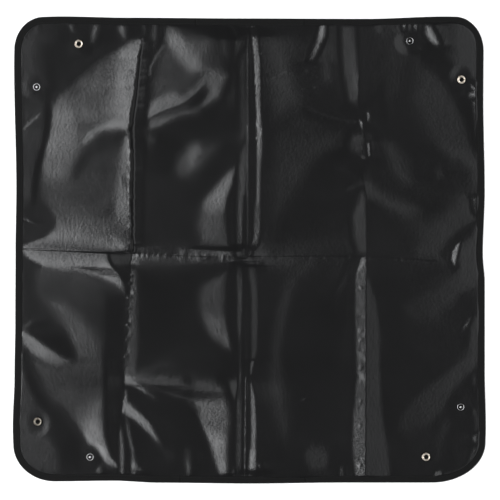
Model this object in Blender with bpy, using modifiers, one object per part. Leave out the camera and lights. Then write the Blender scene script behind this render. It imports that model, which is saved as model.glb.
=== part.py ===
"""A repotting mat lying open: a square coated sheet with a bound edge, creased by its storage
folds, and a press stud and a socket at each corner that pinch it up into a tray.

Metres, +Z up. X runs to the right and Y to the back of the mat as it lies, with the origin on
the table under its middle. The sheet is modelled as four panels that hinge along the three
creases of the storage fold."""

from math import cos, hypot, pi, sin

import bmesh
import bpy
from mathutils import Matrix, Vector
from mathutils.geometry import intersect_point_line

# Mat, over its bound edge
MAT_WIDTH = 0.680
MAT_DEPTH = 0.674
EDGE_WANDER = 0.003
WANDER_STEPS = 2
# Run of each rounded corner along the front or back edge, and along the side edge
CORNER_RUNS = {
    "front_left": (0.058, 0.055),
    "front_right": (0.075, 0.058),
    "back_right": (0.042, 0.048),
    "back_left": (0.042, 0.047),
}
CORNER_STEPS = 6

# Where each edge strays outwards: a share of its length from the left or the front end, and a
# share of EDGE_WANDER
WANDER_SHARES = {
    "front": ((0.10, -0.50), (0.21, -0.77), (0.31, 0.20), (0.50, 0.60), (0.70, 0.13), (0.85, 0.13)),
    "right": ((0.12, 1.00), (0.24, 0.47), (0.43, 0.47), (0.49, -0.47), (0.63, 0.47), (0.82, -0.23)),
    "back": ((0.10, 0.60), (0.24, 0.00), (0.49, -0.37), (0.75, -0.57), (0.92, 0.57)),
    "left": ((0.12, 1.00), (0.23, 0.17), (0.35, -0.20), (0.50, -0.33), (0.63, -0.70), (0.90, 0.37)),
}

# Cloth, tape and thread
CLEARANCE = 0.0003
SHEET_THICK = 0.0004
TAPE_THICK = 0.0004
TAPE_REACH = 0.010
THREAD_DIAMETER = 0.0004
STITCH_MARGIN = 0.0018
TAPE_LIP = 0.0015

# Storage creases: place across the mat at its front and its back edge, as shares of its width
FOLD_SHARES = {
    "left_fold": (-0.278, -0.235),
    "centre_fold": (-0.007, 0.000),
    "right_fold": (0.250, 0.245),
}
# Cross creases: place up the mat at its left and its right edge, as shares of its depth
ROW_SHARES = ((-0.271, -0.271), (0.002, -0.026), (0.247, 0.247))

# Relief of the sheet: the crests along the outer creases, and the swell of each square between
# creases, as shares of SWELL_RISE, from the left, in rows from the front
CREST_RISE = 0.0034
CREST_REACH = 0.036
SWELL_RISE = 0.0050
SWELL_SHARES = (
    (0.70, 0.85, 0.70, 0.60),
    (0.55, 0.60, 0.75, 0.85),
    (0.80, 0.65, 0.60, 0.70),
    (1.00, 0.80, 0.90, 0.65),
)
FADE_RUN = 0.022
PANEL_COLUMNS = 7
ROW_STEPS = 7

# Snaps: distance from the nearest edge, and from the corner's other edge
SNAP_NEAR = 0.036
SOCKET_ALONG = 0.090
STUD_ALONG = 0.107
# How far along the front or back edge, then along the side edge, each one lies from its corner,
# as shares of those distances
SNAP_SHARES = {
    "front_left": {"socket": (0.92, 0.98), "stud": (1.02, 1.02)},
    "front_right": {"socket": (0.93, 1.03), "stud": (0.92, 1.02)},
    "back_right": {"socket": (0.90, 1.00), "stud": (1.00, 0.94)},
    "back_left": {"socket": (1.03, 1.06), "stud": (0.88, 0.94)},
}
SEAT_MARGIN = 0.0012
SEAT_FADE = 0.016

# Snap hardware
SNAP_STEPS = 16
CAP_DIAMETER = 0.0124
CAP_THICK = 0.0008
CAP_CHAMFER = 0.0004
POST_DIAMETER = 0.0028
POST_WALL = 0.0005
ROLL_FLARE = 0.0007
ROLL_THICK = 0.0004
SOCKET_DIAMETER = 0.0126
SOCKET_HEIGHT = 0.0033
SOCKET_CHAMFER = 0.0009
SOCKET_MOUTH = 0.0054
SOCKET_WALL = 0.0006
SPRING_WIRE = 0.0006
SPRING_DIAMETER = 0.0047
SPRING_OPENING = 0.9
SPRING_STEPS = 14
STUD_DIAMETER = 0.0108
STUD_HEIGHT = 0.0035
STUD_RIM_HEIGHT = 0.0011
STUD_RIM_WIDTH = 0.0013
STUD_WEB = 0.0005
NUB_DIAMETER = 0.0046
NUB_CHAMFER = 0.0007
NUB_NECK_DEPTH = 0.0002
NUB_NECK_HEIGHT = 0.0011
STUD_CROWN = 0.0006
EYELET_DIAMETER = 0.0104
EYELET_THICK = 0.0008

# Colours, roughness and metallic value
FINISHES = {
    "coated_black": ((0.017, 0.017, 0.019), 0.32, 0.0),
    "tape_black": ((0.012, 0.012, 0.012), 0.75, 0.0),
    "thread_black": ((0.010, 0.010, 0.010), 0.80, 0.0),
    "antique_nickel": ((0.56, 0.50, 0.43), 0.30, 1.0),
    "spring_wire": ((0.60, 0.58, 0.55), 0.25, 1.0),
    "nickel": ((0.52, 0.52, 0.52), 0.28, 1.0),
}

# Heights worked out from the sizes above
SHEET_LIE = TAPE_THICK + CLEARANCE
TAPE_TOP = SHEET_LIE + SHEET_THICK + CLEARANCE + TAPE_THICK
THREAD_LIE = TAPE_TOP + CLEARANCE + THREAD_DIAMETER / 2
TOP_HINGE = THREAD_LIE + THREAD_DIAMETER / 2 + CLEARANCE / 2
SEAT_LIE = CAP_THICK + CLEARANCE
SEAT_TOP = SEAT_LIE + SHEET_THICK + CLEARANCE
SEAT_HALF = max(CAP_DIAMETER, SOCKET_DIAMETER, STUD_DIAMETER, EYELET_DIAMETER) / 2 + SEAT_MARGIN
FOLD_HALF = CLEARANCE / 2

PANELS = {
    "outer_left": (None, "left_fold"),
    "inner_left": ("left_fold", "centre_fold"),
    "inner_right": ("centre_fold", "right_fold"),
    "outer_right": ("right_fold", None),
}
CARRIERS = {
    "outer_left": "left_fold",
    "inner_left": None,
    "inner_right": "centre_fold",
    "outer_right": "right_fold",
}


def clear_scene():
    for old in list(bpy.data.objects):
        bpy.data.objects.remove(old, do_unlink=True)


def new_collection(name):
    collection = bpy.data.collections.new(name)
    bpy.context.scene.collection.children.link(collection)
    return collection


def make_finishes():
    made = {}
    for name, (colour, roughness, metallic) in FINISHES.items():
        finish = bpy.data.materials.new(name)
        finish.use_nodes = True
        shader = finish.node_tree.nodes["Principled BSDF"]
        shader.inputs["Base Color"].default_value = (*colour, 1.0)
        shader.inputs["Roughness"].default_value = roughness
        shader.inputs["Metallic"].default_value = metallic
        finish.diffuse_color = (*colour, 1.0)
        made[name] = finish
    return made


def place_object(name, data, collection, finish, carrier, at=(0, 0, 0)):
    """An object of this data in the collection, carried by an empty or by nothing."""
    obj = bpy.data.objects.new(name, data)
    obj.location = at
    collection.objects.link(obj)
    if finish:
        data.materials.clear()
        data.materials.append(finish)
    if carrier:
        obj.parent = carrier
        obj.matrix_parent_inverse = carrier.matrix_world.inverted()
    return obj


def smooth_step(value):
    value = min(max(value, 0.0), 1.0)
    return value * value * (3 - 2 * value)


def between(low, high, share):
    return low + (high - low) * share


# Outline of the bound edge


def wander_line(side):
    """A side's line as points, each a share of its length and how far it strays outwards there."""
    knots = ((0.0, 0.0), *WANDER_SHARES[side], (1.0, 0.0))
    line = []
    for (start, low), (end, high) in zip(knots, knots[1:]):
        for step in range(WANDER_STEPS):
            share = step / WANDER_STEPS
            stray = EDGE_WANDER * between(low, high, smooth_step(share))
            line.append((between(start, end, share), stray))
    return line + [(1.0, 0.0)]


def wander(side, share):
    """How far a side strays outwards from its straight line, at a share of its length."""
    line = WANDER_LINES[side]
    for (start, low), (end, high) in zip(line, line[1:]):
        if share <= end:
            return between(low, high, (share - start) / (end - start))
    return 0.0


def side_point(side, along, inset):
    """The point of a side at this X, on the front and back, or this Y, on the left and right."""
    if side in ("front", "back"):
        out = MAT_DEPTH / 2 - inset + wander(side, along / MAT_WIDTH + 0.5)
        return Vector((along, out if side == "back" else -out))
    out = MAT_WIDTH / 2 - inset + wander(side, along / MAT_DEPTH + 0.5)
    return Vector((out if side == "right" else -out, along))


def corner_ends(corner):
    """X where the corner meets the front or back edge, and Y where it meets the side edge."""
    x_run, y_run = CORNER_RUNS[corner]
    x = MAT_WIDTH / 2 - x_run
    y = MAT_DEPTH / 2 - y_run
    return (-x if "left" in corner else x), (-y if "front" in corner else y)


def side_ends(side):
    """The corner ends of a side, in the order of a walk round the mat counter-clockwise."""
    if side == "front":
        return corner_ends("front_left")[0], corner_ends("front_right")[0]
    if side == "right":
        return corner_ends("front_right")[1], corner_ends("back_right")[1]
    if side == "back":
        return corner_ends("back_right")[0], corner_ends("back_left")[0]
    return corner_ends("back_left")[1], corner_ends("front_left")[1]


def side_points(side, start, end, inset):
    """Points of a side from start to end, at both and at each place where its line bends."""
    length = MAT_WIDTH if side in ("front", "back") else MAT_DEPTH
    low, high = min(start, end), max(start, end)
    bends = [length * (share - 0.5) for share, _ in WANDER_LINES[side]]
    places = [place for place in bends if low + TAPE_REACH < place < high - TAPE_REACH]
    places = sorted([low, high, *places], reverse=start > end)
    return [side_point(side, place, inset) for place in places]


def corner_points(corner, inset):
    """Points round a corner between its two ends, counter-clockwise."""
    front_or_back, left_or_right = corner.split("_")
    x_end, y_end = corner_ends(corner)
    on_x = side_point(front_or_back, x_end, inset)
    on_y = side_point(left_or_right, y_end, inset)
    first, last = (on_y, on_x) if corner in ("front_left", "back_right") else (on_x, on_y)
    centre = Vector((x_end, y_end))
    points = []
    for step in range(1, CORNER_STEPS):
        angle = pi / 2 * step / CORNER_STEPS
        points.append(centre + (first - centre) * cos(angle) + (last - centre) * sin(angle))
    return points


def edge_path(inset, stretches):
    """Points along the bound edge, counter-clockwise. A stretch is a side with the place where
    it starts and the place where it ends, or None where that is a corner."""
    points = []
    for side, start, end in stretches:
        corner_start, corner_end = side_ends(side)
        points += side_points(
            side,
            corner_start if start is None else start,
            corner_end if end is None else end,
            inset,
        )
        if end is None:
            points += corner_points(NEXT_CORNERS[side], inset)
    return points


WANDER_LINES = {side: wander_line(side) for side in WANDER_SHARES}
NEXT_CORNERS = {
    "front": "front_right",
    "right": "back_right",
    "back": "back_left",
    "left": "front_left",
}
WHOLE_EDGE = tuple((side, None, None) for side in NEXT_CORNERS)


# Creases


def fold_x(fold, y):
    """X of a storage crease at this Y."""
    front, back = FOLD_SHARES[fold]
    return MAT_WIDTH * between(front, back, y / MAT_DEPTH + 0.5)


def row_y(row, x):
    """Y of a cross crease at this X."""
    left, right = ROW_SHARES[row]
    return MAT_DEPTH * between(left, right, x / MAT_WIDTH + 0.5)


def panel_sides(panel, y):
    """X of the two long sides of a panel at this Y, without the gap at a crease."""
    low_fold, high_fold = PANELS[panel]
    low = fold_x(low_fold, y) if low_fold else -MAT_WIDTH / 2
    high = fold_x(high_fold, y) if high_fold else MAT_WIDTH / 2
    return low, high


def row_ends(row, x):
    """Y of the front and the back end of a row of squares at this X."""
    front = row_y(row - 1, x) if row else -MAT_DEPTH / 2
    back = row_y(row, x) if row < len(ROW_SHARES) else MAT_DEPTH / 2
    return front, back


def fold_distance(fold, x, y):
    """How far a point lies from a storage crease."""
    lean = (fold_x(fold, MAT_DEPTH) - fold_x(fold, 0)) / MAT_DEPTH
    return abs(x - fold_x(fold, y)) / hypot(1, lean)


# Snap places


def snap_place(corner, kind):
    """Where a snap goes through the sheet."""
    x_share, y_share = SNAP_SHARES[corner][kind]
    front_or_back, left_or_right = corner.split("_")
    along_front = SNAP_LAYOUT[corner] == kind
    far = SOCKET_ALONG if kind == "socket" else STUD_ALONG
    x = MAT_WIDTH / 2 - (far if along_front else SNAP_NEAR) * x_share
    y = MAT_DEPTH / 2 - (SNAP_NEAR if along_front else far) * y_share
    return Vector((-x if left_or_right == "left" else x, -y if front_or_back == "front" else y))


# Which snap of each corner lies along the front or back edge
SNAP_LAYOUT = {
    "front_left": "stud",
    "front_right": "socket",
    "back_right": "stud",
    "back_left": "socket",
}
SNAPS = {
    (corner, kind): snap_place(corner, kind)
    for corner in SNAP_LAYOUT
    for kind in ("socket", "stud")
}


# Relief of the sheet


def swell(x, y):
    """Rise of the soft squares between the creases."""
    column = sum(x > fold_x(fold, y) for fold in FOLD_SHARES)
    row = sum(y > row_y(row, x) for row in range(len(ROW_SHARES)))
    left, right = panel_sides(list(PANELS)[column], y)
    front, back = row_ends(row, x)
    across = min(max((x - left) / (right - left), 0.0), 1.0)
    along = min(max((y - front) / (back - front), 0.0), 1.0)
    rise = SWELL_RISE * SWELL_SHARES[row][column]
    return rise * 16 * across * (1 - across) * along * (1 - along)


def crest(x, y):
    """Rise of the outer creases, which fold the undersides together and so lie up."""
    rise = 0.0
    for fold in ("left_fold", "right_fold"):
        rise += CREST_RISE * max(0.0, 1 - fold_distance(fold, x, y) / CREST_REACH) ** 2
    return rise


def edge_distance(x, y, edge):
    """How far a point lies from the bound edge, given as a closed row of points."""
    nearest = MAT_WIDTH
    point = Vector((x, y))
    for start, end in zip(edge, edge[1:] + edge[:1]):
        foot, share = intersect_point_line(point, start, end)
        foot = start if share < 0 else end if share > 1 else foot
        nearest = min(nearest, (foot.xy - point).length)
    return nearest


def sheet_height(x, y, edge):
    """Height of the sheet's underside: flat in the tape and at each snap, in relief between."""
    inside = edge_distance(x, y, edge) - TAPE_REACH - TAPE_LIP
    height = SHEET_LIE + (swell(x, y) + crest(x, y)) * smooth_step(inside / FADE_RUN)
    for place in SNAPS.values():
        beyond = max(abs(x - place.x), abs(y - place.y)) - SEAT_HALF
        height = between(SEAT_LIE, height, smooth_step(beyond / SEAT_FADE))
    return height


# Sheet


def cut_mesh(shape, start, end, keep_side=0, near=None):
    """Cuts the flat shape along the line from start to end. keep_side drops what lies on its
    left (1) or its right (-1); near limits the cut to faces whose middle it accepts."""
    along = (end - start).normalized()
    normal = Vector((-along.y, along.x, 0.0))
    faces = [face for face in shape.faces if near is None or near(face.calc_center_median())]
    edges = {edge for face in faces for edge in face.edges}
    verts = {vert for face in faces for vert in face.verts}
    bmesh.ops.bisect_plane(
        shape,
        geom=faces + list(edges) + list(verts),
        dist=CLEARANCE / 100,
        plane_co=(start.x, start.y, 0.0),
        plane_no=normal,
        clear_outer=keep_side > 0,
        clear_inner=keep_side < 0,
    )


def panel_line(panel, share):
    """A line up a panel, at this share of the way from its left side to its right side."""
    ends = []
    for y in (-MAT_DEPTH / 2, MAT_DEPTH / 2):
        ends.append(Vector((between(*panel_sides(panel, y), share), y)))
    return ends


def row_line(row, share):
    """A line across the mat, at this share of the way up a row of squares."""
    ends = []
    for x in (-MAT_WIDTH / 2, MAT_WIDTH / 2):
        ends.append(Vector((x, between(*row_ends(row, x), share))))
    return ends


def cut_seat(shape, place):
    """Cuts the square round a snap, so that the sheet can lie flat under it."""
    reach = SEAT_HALF + SEAT_FADE
    for turn in range(4):
        outwards = Matrix.Rotation(pi / 2 * turn, 2) @ Vector((SEAT_HALF, 0.0))
        along = Matrix.Rotation(pi / 2, 2) @ outwards
        start = place + outwards
        cut_mesh(shape, start, start + along, near=lambda middle: (middle.xy - place).length < reach)


def sheet_panel(panel):
    """One panel of the sheet, as a flat outline cut along its creases and a grid, then raised."""
    edge = edge_path(0.0, WHOLE_EDGE)
    hem = TAPE_THICK + CLEARANCE
    shape = bmesh.new()
    outline = [shape.verts.new((*point, 0.0)) for point in edge_path(hem, WHOLE_EDGE)]
    whole = shape.faces.new(outline)
    shape.normal_update()
    band = TAPE_REACH + TAPE_LIP - hem
    bmesh.ops.inset_region(
        shape, faces=[whole], thickness=band, use_even_offset=True, use_boundary=True
    )
    low_fold, high_fold = PANELS[panel]
    gap = Vector((FOLD_HALF, 0.0))
    if low_fold:
        start, end = panel_line(panel, 0.0)
        cut_mesh(shape, start + gap, end + gap, keep_side=1)
    if high_fold:
        start, end = panel_line(panel, 1.0)
        cut_mesh(shape, start - gap, end - gap, keep_side=-1)
    for step in range(1, PANEL_COLUMNS):
        cut_mesh(shape, *panel_line(panel, step / PANEL_COLUMNS))
    for row in range(len(ROW_SHARES) + 1):
        for step in range(1 if row == 0 else 0, ROW_STEPS):
            cut_mesh(shape, *row_line(row, step / ROW_STEPS))
    for place in SNAPS.values():
        low, high = panel_sides(panel, place.y)
        if low < place.x < high:
            cut_seat(shape, place)
    bmesh.ops.remove_doubles(shape, verts=shape.verts, dist=CLEARANCE)
    bmesh.ops.triangulate(shape, faces=shape.faces)
    bmesh.ops.dissolve_degenerate(shape, edges=shape.edges, dist=CLEARANCE / 2)
    for vert in shape.verts:
        vert.co.z = sheet_height(vert.co.x, vert.co.y, edge)
    mesh = bpy.data.meshes.new("sheet_" + panel)
    shape.to_mesh(mesh)
    shape.free()
    return mesh


def post_cutter(corner, kind, guides):
    """A pin that cuts the hole of a snap's post through the sheet."""
    shape = bmesh.new()
    radius = POST_DIAMETER / 2 + CLEARANCE
    bmesh.ops.create_cone(
        shape, cap_ends=True, segments=SNAP_STEPS, radius1=radius, radius2=radius, depth=STUD_HEIGHT
    )
    mesh = bpy.data.meshes.new("post_cutter")
    shape.to_mesh(mesh)
    shape.free()
    place = SNAPS[corner, kind]
    at = (place.x, place.y, SEAT_LIE + SHEET_THICK / 2)
    cutter = place_object(f"{corner}_{kind}_hole", mesh, guides, None, None, at)
    cutter.hide_render = True
    cutter.display_type = "WIRE"
    return cutter


def make_sheet(part, guides, finishes, carriers):
    for panel in PANELS:
        mesh = sheet_panel(panel)
        carrier = carriers.get(CARRIERS[panel])
        sheet = place_object("sheet_" + panel, mesh, part, finishes["coated_black"], carrier)
        wall = sheet.modifiers.new("Cloth", "SOLIDIFY")
        wall.thickness = SHEET_THICK
        wall.offset = 1.0
        for corner, kind in SNAPS:
            place = SNAPS[corner, kind]
            low, high = panel_sides(panel, place.y)
            if low < place.x < high:
                hole = sheet.modifiers.new("Post hole", "BOOLEAN")
                hole.operation = "DIFFERENCE"
                hole.object = post_cutter(corner, kind, guides)


# Binding and seam


def fold_stop(fold, side, towards):
    """X where a piece of binding ends at a crease, on its left (-1) or its right (1) side."""
    sign = 1 if side == "back" else -1
    outer = sign * (MAT_DEPTH / 2 + EDGE_WANDER)
    inner = sign * (MAT_DEPTH / 2 - TAPE_REACH - EDGE_WANDER)
    places = [fold_x(fold, outer), fold_x(fold, inner)]
    return (max(places) if towards > 0 else min(places)) + towards * FOLD_HALF


def binding_runs():
    """Each piece of the binding: its name, its panel and its stretches of the edge."""
    runs = [
        (
            "left",
            "outer_left",
            (
                ("back", fold_stop("left_fold", "back", -1), None),
                ("left", None, None),
                ("front", None, fold_stop("left_fold", "front", -1)),
            ),
        ),
        (
            "right",
            "outer_right",
            (
                ("front", fold_stop("right_fold", "front", 1), None),
                ("right", None, None),
                ("back", None, fold_stop("right_fold", "back", 1)),
            ),
        ),
    ]
    for panel in ("inner_left", "inner_right"):
        low_fold, high_fold = PANELS[panel]
        for side in ("front", "back"):
            low = fold_stop(low_fold, side, 1)
            high = fold_stop(high_fold, side, -1)
            start, end = (low, high) if side == "front" else (high, low)
            runs.append((f"{side}_{panel}", panel, ((side, start, end),)))
    return runs


def path_curve(name, points, height):
    """A curve through these points at one height, with its caps filled."""
    curve = bpy.data.curves.new(name, "CURVE")
    curve.dimensions = "3D"
    curve.twist_mode = "Z_UP"
    curve.use_fill_caps = True
    line = curve.splines.new("POLY")
    line.points.add(len(points) - 1)
    for knot, point in zip(line.points, points):
        knot.co = (*point, height, 1.0)
    return curve


def tape_section(guides):
    """The section of the folded tape: a leg under the sheet, a leg over it and the fold between,
    with the mat's edge at X = 0 and the sheet towards +X."""
    leg = TAPE_THICK
    corners = (
        (0, 0),
        (TAPE_REACH, 0),
        (TAPE_REACH, leg),
        (leg, leg),
        (leg, TAPE_TOP - leg),
        (TAPE_REACH, TAPE_TOP - leg),
        (TAPE_REACH, TAPE_TOP),
        (0, TAPE_TOP),
    )
    curve = bpy.data.curves.new("tape_section", "CURVE")
    curve.dimensions = "2D"
    curve.fill_mode = "NONE"
    line = curve.splines.new("POLY")
    line.points.add(len(corners) - 1)
    for knot, (across, up) in zip(line.points, corners):
        knot.co = (-across, up, 0.0, 1.0)
    line.use_cyclic_u = True
    section = place_object("tape_section", curve, guides, None, None)
    section.hide_render = True
    section.display_type = "WIRE"
    return section


def make_binding(part, guides, finishes, carriers):
    section = tape_section(guides)
    for name, panel, stretches in binding_runs():
        carrier = carriers.get(CARRIERS[panel])
        tape = path_curve("binding_" + name, edge_path(0.0, stretches), 0.0)
        tape.bevel_mode = "OBJECT"
        tape.bevel_object = section
        place_object("binding_" + name, tape, part, finishes["tape_black"], carrier)
        inset = TAPE_REACH - STITCH_MARGIN
        seam = path_curve("seam_thread_" + name, edge_path(inset, stretches), THREAD_LIE)
        seam.bevel_depth = THREAD_DIAMETER / 2
        seam.bevel_resolution = 0
        place_object("seam_thread_" + name, seam, part, finishes["thread_black"], carrier)


# Snap hardware


def turned(name, profile, closed):
    """A mesh for a piece turned round Z: a profile of (radius, height), down its outer side."""
    shape = bmesh.new()
    verts = [shape.verts.new((radius, 0.0, height)) for radius, height in profile]
    for start, end in zip(verts, verts[1:] + verts[:1] * closed):
        shape.edges.new((start, end))
    mesh = bpy.data.meshes.new(name)
    shape.to_mesh(mesh)
    shape.free()
    return mesh


def add_screw(obj):
    turn = obj.modifiers.new("Turned", "SCREW")
    turn.axis = "Z"
    turn.steps = SNAP_STEPS
    turn.render_steps = SNAP_STEPS
    turn.use_merge_vertices = True
    turn.merge_threshold = CLEARANCE / 30
    turn.use_smooth_shade = False


def cap_profile():
    """The cap under a socket, with its hollow post up through the sheet, rolled over at its end.
    Heights are from the cap's top face."""
    post = POST_DIAMETER / 2
    roll_top = roll_height() + ROLL_THICK
    cap = CAP_DIAMETER / 2
    return (
        (0, 0),
        (post - POST_WALL, 0),
        (post - POST_WALL, roll_top),
        (post + ROLL_FLARE, roll_top),
        (post + ROLL_FLARE, roll_top - ROLL_THICK),
        (post, roll_top - ROLL_THICK),
        (post, 0),
        (cap, 0),
        (cap, -CAP_THICK + CAP_CHAMFER),
        (cap - CAP_CHAMFER, -CAP_THICK),
        (0, -CAP_THICK),
    )


def roll_height():
    """How far the rolled end's underside lies above the cap's top face."""
    return CLEARANCE + SHEET_THICK + CLEARANCE + SOCKET_WALL + CLEARANCE


def socket_profile():
    """The socket on the sheet: a hollow ring with a floor for the post and a mouth for the stud."""
    outer = SOCKET_DIAMETER / 2
    bore = POST_DIAMETER / 2 + CLEARANCE
    groove = SPRING_DIAMETER / 2 + SPRING_WIRE + CLEARANCE
    lip = SOCKET_HEIGHT - SOCKET_WALL
    mouth = SOCKET_MOUTH / 2
    return (
        (outer - SOCKET_CHAMFER, SOCKET_HEIGHT),
        (outer, SOCKET_HEIGHT - SOCKET_CHAMFER),
        (outer, 0),
        (bore, 0),
        (bore, SOCKET_WALL),
        (groove, SOCKET_WALL),
        (groove, lip),
        (mouth, lip),
        (mouth, SOCKET_HEIGHT),
    )


def stud_profile():
    """The stud on the sheet: a dished base, a necked nub and the hollow for its eyelet's post."""
    outer = STUD_DIAMETER / 2
    nub = NUB_DIAMETER / 2
    neck = nub - NUB_NECK_DEPTH
    hollow = POST_DIAMETER / 2 + CLEARANCE
    return (
        (0, STUD_HEIGHT),
        (nub - NUB_CHAMFER, STUD_HEIGHT),
        (nub, STUD_HEIGHT - NUB_CHAMFER),
        (neck, STUD_HEIGHT - NUB_CHAMFER - NUB_NECK_HEIGHT),
        (neck, STUD_WEB),
        (outer - STUD_RIM_WIDTH, STUD_WEB),
        (outer - STUD_RIM_WIDTH / 2, STUD_RIM_HEIGHT),
        (outer, STUD_RIM_HEIGHT / 2),
        (outer, 0),
        (hollow, 0),
        (hollow, STUD_HEIGHT - STUD_CROWN),
        (0, STUD_HEIGHT - STUD_CROWN),
    )


def eyelet_profile():
    """The eyelet under a stud, with its hollow post up into the nub. Heights are from the top
    face of its flange."""
    outer = EYELET_DIAMETER / 2
    post = POST_DIAMETER / 2
    top = CLEARANCE + SHEET_THICK + CLEARANCE + STUD_HEIGHT - STUD_CROWN - CLEARANCE
    bore = post - POST_WALL
    return (
        (post, top),
        (post, 0),
        (outer, 0),
        (outer, -EYELET_THICK + CAP_CHAMFER),
        (outer - CAP_CHAMFER, -EYELET_THICK),
        (bore, -EYELET_THICK),
        (bore, top),
    )


def spring_curve():
    """The open wire ring that grips the nub, round Z at height 0."""
    radius = SPRING_DIAMETER / 2 + SPRING_WIRE / 2
    points = []
    for step in range(SPRING_STEPS):
        angle = between(SPRING_OPENING / 2, 2 * pi - SPRING_OPENING / 2, step / (SPRING_STEPS - 1))
        points.append(Vector((cos(angle), sin(angle))) * radius)
    curve = path_curve("socket_spring", points, 0.0)
    curve.bevel_depth = SPRING_WIRE / 2
    curve.bevel_resolution = 1
    return curve


def spring_height():
    """Middle of the spring above the socket's base, between the rolled post and the lip."""
    roll_top = SOCKET_WALL + CLEARANCE + ROLL_THICK
    return (roll_top + SOCKET_HEIGHT - SOCKET_WALL) / 2


def make_snaps(part, finishes, carriers):
    nickel = finishes["nickel"]
    antique = finishes["antique_nickel"]
    kinds = {
        "socket": (
            ("socket_cap", turned("socket_cap", cap_profile(), False), antique, CAP_THICK),
            ("socket", turned("socket", socket_profile(), True), antique, SEAT_TOP),
            ("socket_spring", spring_curve(), finishes["spring_wire"], SEAT_TOP + spring_height()),
        ),
        "stud": (
            ("stud_eyelet", turned("stud_eyelet", eyelet_profile(), True), nickel, EYELET_THICK),
            ("stud", turned("stud", stud_profile(), False), nickel, SEAT_TOP),
        ),
    }
    for (corner, kind), place in SNAPS.items():
        panel = "outer_left" if place.x < 0 else "outer_right"
        for name, data, finish, height in kinds[kind]:
            at = (place.x, place.y, height)
            piece = place_object(
                f"{corner}_{name}", data, part, finish, carriers.get(CARRIERS[panel]), at
            )
            if name != "socket_spring":
                add_screw(piece)


def make_carriers(part):
    """An empty on each fold's axis, with its Y along the axis. The outer creases turn at the
    table, the centre crease turns just over the seam."""
    carriers = {}
    for fold in FOLD_SHARES:
        lean = fold_x(fold, MAT_DEPTH) - fold_x(fold, 0)
        axis = bpy.data.objects.new(fold, None)
        height = TOP_HINGE if fold == "centre_fold" else 0.0
        along = Vector((lean, MAT_DEPTH, 0.0)).normalized()
        turn = Vector((0, 1, 0)).rotation_difference(along).to_matrix().to_4x4()
        axis.matrix_world = Matrix.Translation((fold_x(fold, 0), 0.0, height)) @ turn
        axis.empty_display_size = MAT_DEPTH / 2
        part.objects.link(axis)
        carriers[fold] = axis
    bpy.context.view_layer.update()
    inner = carriers["right_fold"]
    inner.parent = carriers["centre_fold"]
    inner.matrix_parent_inverse = carriers["centre_fold"].matrix_world.inverted()
    bpy.context.view_layer.update()
    return carriers


def main():
    clear_scene()
    part = new_collection("repotting_mat")
    guides = new_collection("guides")
    finishes = make_finishes()
    carriers = make_carriers(part)
    make_sheet(part, guides, finishes, carriers)
    make_binding(part, guides, finishes, carriers)
    make_snaps(part, finishes, carriers)


main()
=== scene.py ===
"""Repotting mat: the look of its cloth, binding, stitching and press studs, over the CAD frame."""

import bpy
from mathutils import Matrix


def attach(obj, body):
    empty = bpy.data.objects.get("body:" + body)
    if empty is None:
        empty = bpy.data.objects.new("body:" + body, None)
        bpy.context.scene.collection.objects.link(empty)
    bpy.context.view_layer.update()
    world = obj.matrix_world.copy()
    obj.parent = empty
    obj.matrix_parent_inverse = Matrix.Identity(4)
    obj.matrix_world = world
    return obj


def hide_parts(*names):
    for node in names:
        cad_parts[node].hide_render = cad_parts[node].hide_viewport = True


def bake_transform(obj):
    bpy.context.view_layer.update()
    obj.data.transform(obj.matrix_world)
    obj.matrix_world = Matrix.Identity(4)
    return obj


bl_info = {
    "name": "Repotting mat",
    "version": (1, 0, 0),
    "blender": (4, 5, 0),
    "location": "View3D > Sidebar > Repotting mat",
    "description": "Lays out a coated repotting mat with its folds, binding and press studs",
    "category": "Object",
}

from math import cos, log, pi, radians, sin

import bpy
import numpy as np

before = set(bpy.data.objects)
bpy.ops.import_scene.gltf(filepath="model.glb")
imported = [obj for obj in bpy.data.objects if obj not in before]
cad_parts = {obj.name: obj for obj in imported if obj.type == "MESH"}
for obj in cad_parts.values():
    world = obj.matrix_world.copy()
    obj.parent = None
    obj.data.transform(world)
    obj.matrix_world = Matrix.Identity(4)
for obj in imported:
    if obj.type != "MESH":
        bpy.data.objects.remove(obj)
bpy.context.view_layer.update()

MM = 0.001

# Outline, as in the part's source
MAT_WIDTH = 0.680
MAT_DEPTH = 0.674
EDGE_WANDER = 0.003
# Run of each rounded corner along the front or back edge, and along the side edge
CORNER_RUNS = {
    "front_left": (0.058, 0.055),
    "front_right": (0.075, 0.058),
    "back_right": (0.042, 0.048),
    "back_left": (0.042, 0.047),
}
# Where each edge strays outwards: a share of its length, and a share of EDGE_WANDER
EDGE_STRAYS = {
    "front": ((0.10, -0.50), (0.21, -0.77), (0.31, 0.20), (0.50, 0.60), (0.70, 0.13), (0.85, 0.13)),
    "right": ((0.12, 1.00), (0.24, 0.47), (0.43, 0.47), (0.49, -0.47), (0.63, 0.47), (0.82, -0.23)),
    "back": ((0.10, 0.60), (0.24, 0.00), (0.49, -0.37), (0.75, -0.57), (0.92, 0.57)),
    "left": ((0.12, 1.00), (0.23, 0.17), (0.35, -0.20), (0.50, -0.33), (0.63, -0.70), (0.90, 0.37)),
}
# Points along half an edge and round a corner, before they are spaced evenly
EDGE_STEPS = 400
ARC_STEPS = 40

# Layers, as in the part's source
SHEET_LIE = 0.0007
TAPE_TOP = 0.0018
TAPE_REACH = 0.010
STITCH_MARGIN = 0.0018
SEAT_LIE = 0.0011
SEAT_TOP = 0.0018
SEAT_HALF = 0.0075
SEAT_FADE = 0.016

# Net of points over the cloth: cells between creases, and in front of and behind the cross crease
COLUMN_CELLS = (88, 88, 88, 88)
ROW_CELLS = (176, 176)
COLUMN_STARTS = tuple(sum(COLUMN_CELLS[:k]) for k in range(len(COLUMN_CELLS) + 1))
# How much the net's cells crowd towards the creases and the edges
CROWDING = 0.35
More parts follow.
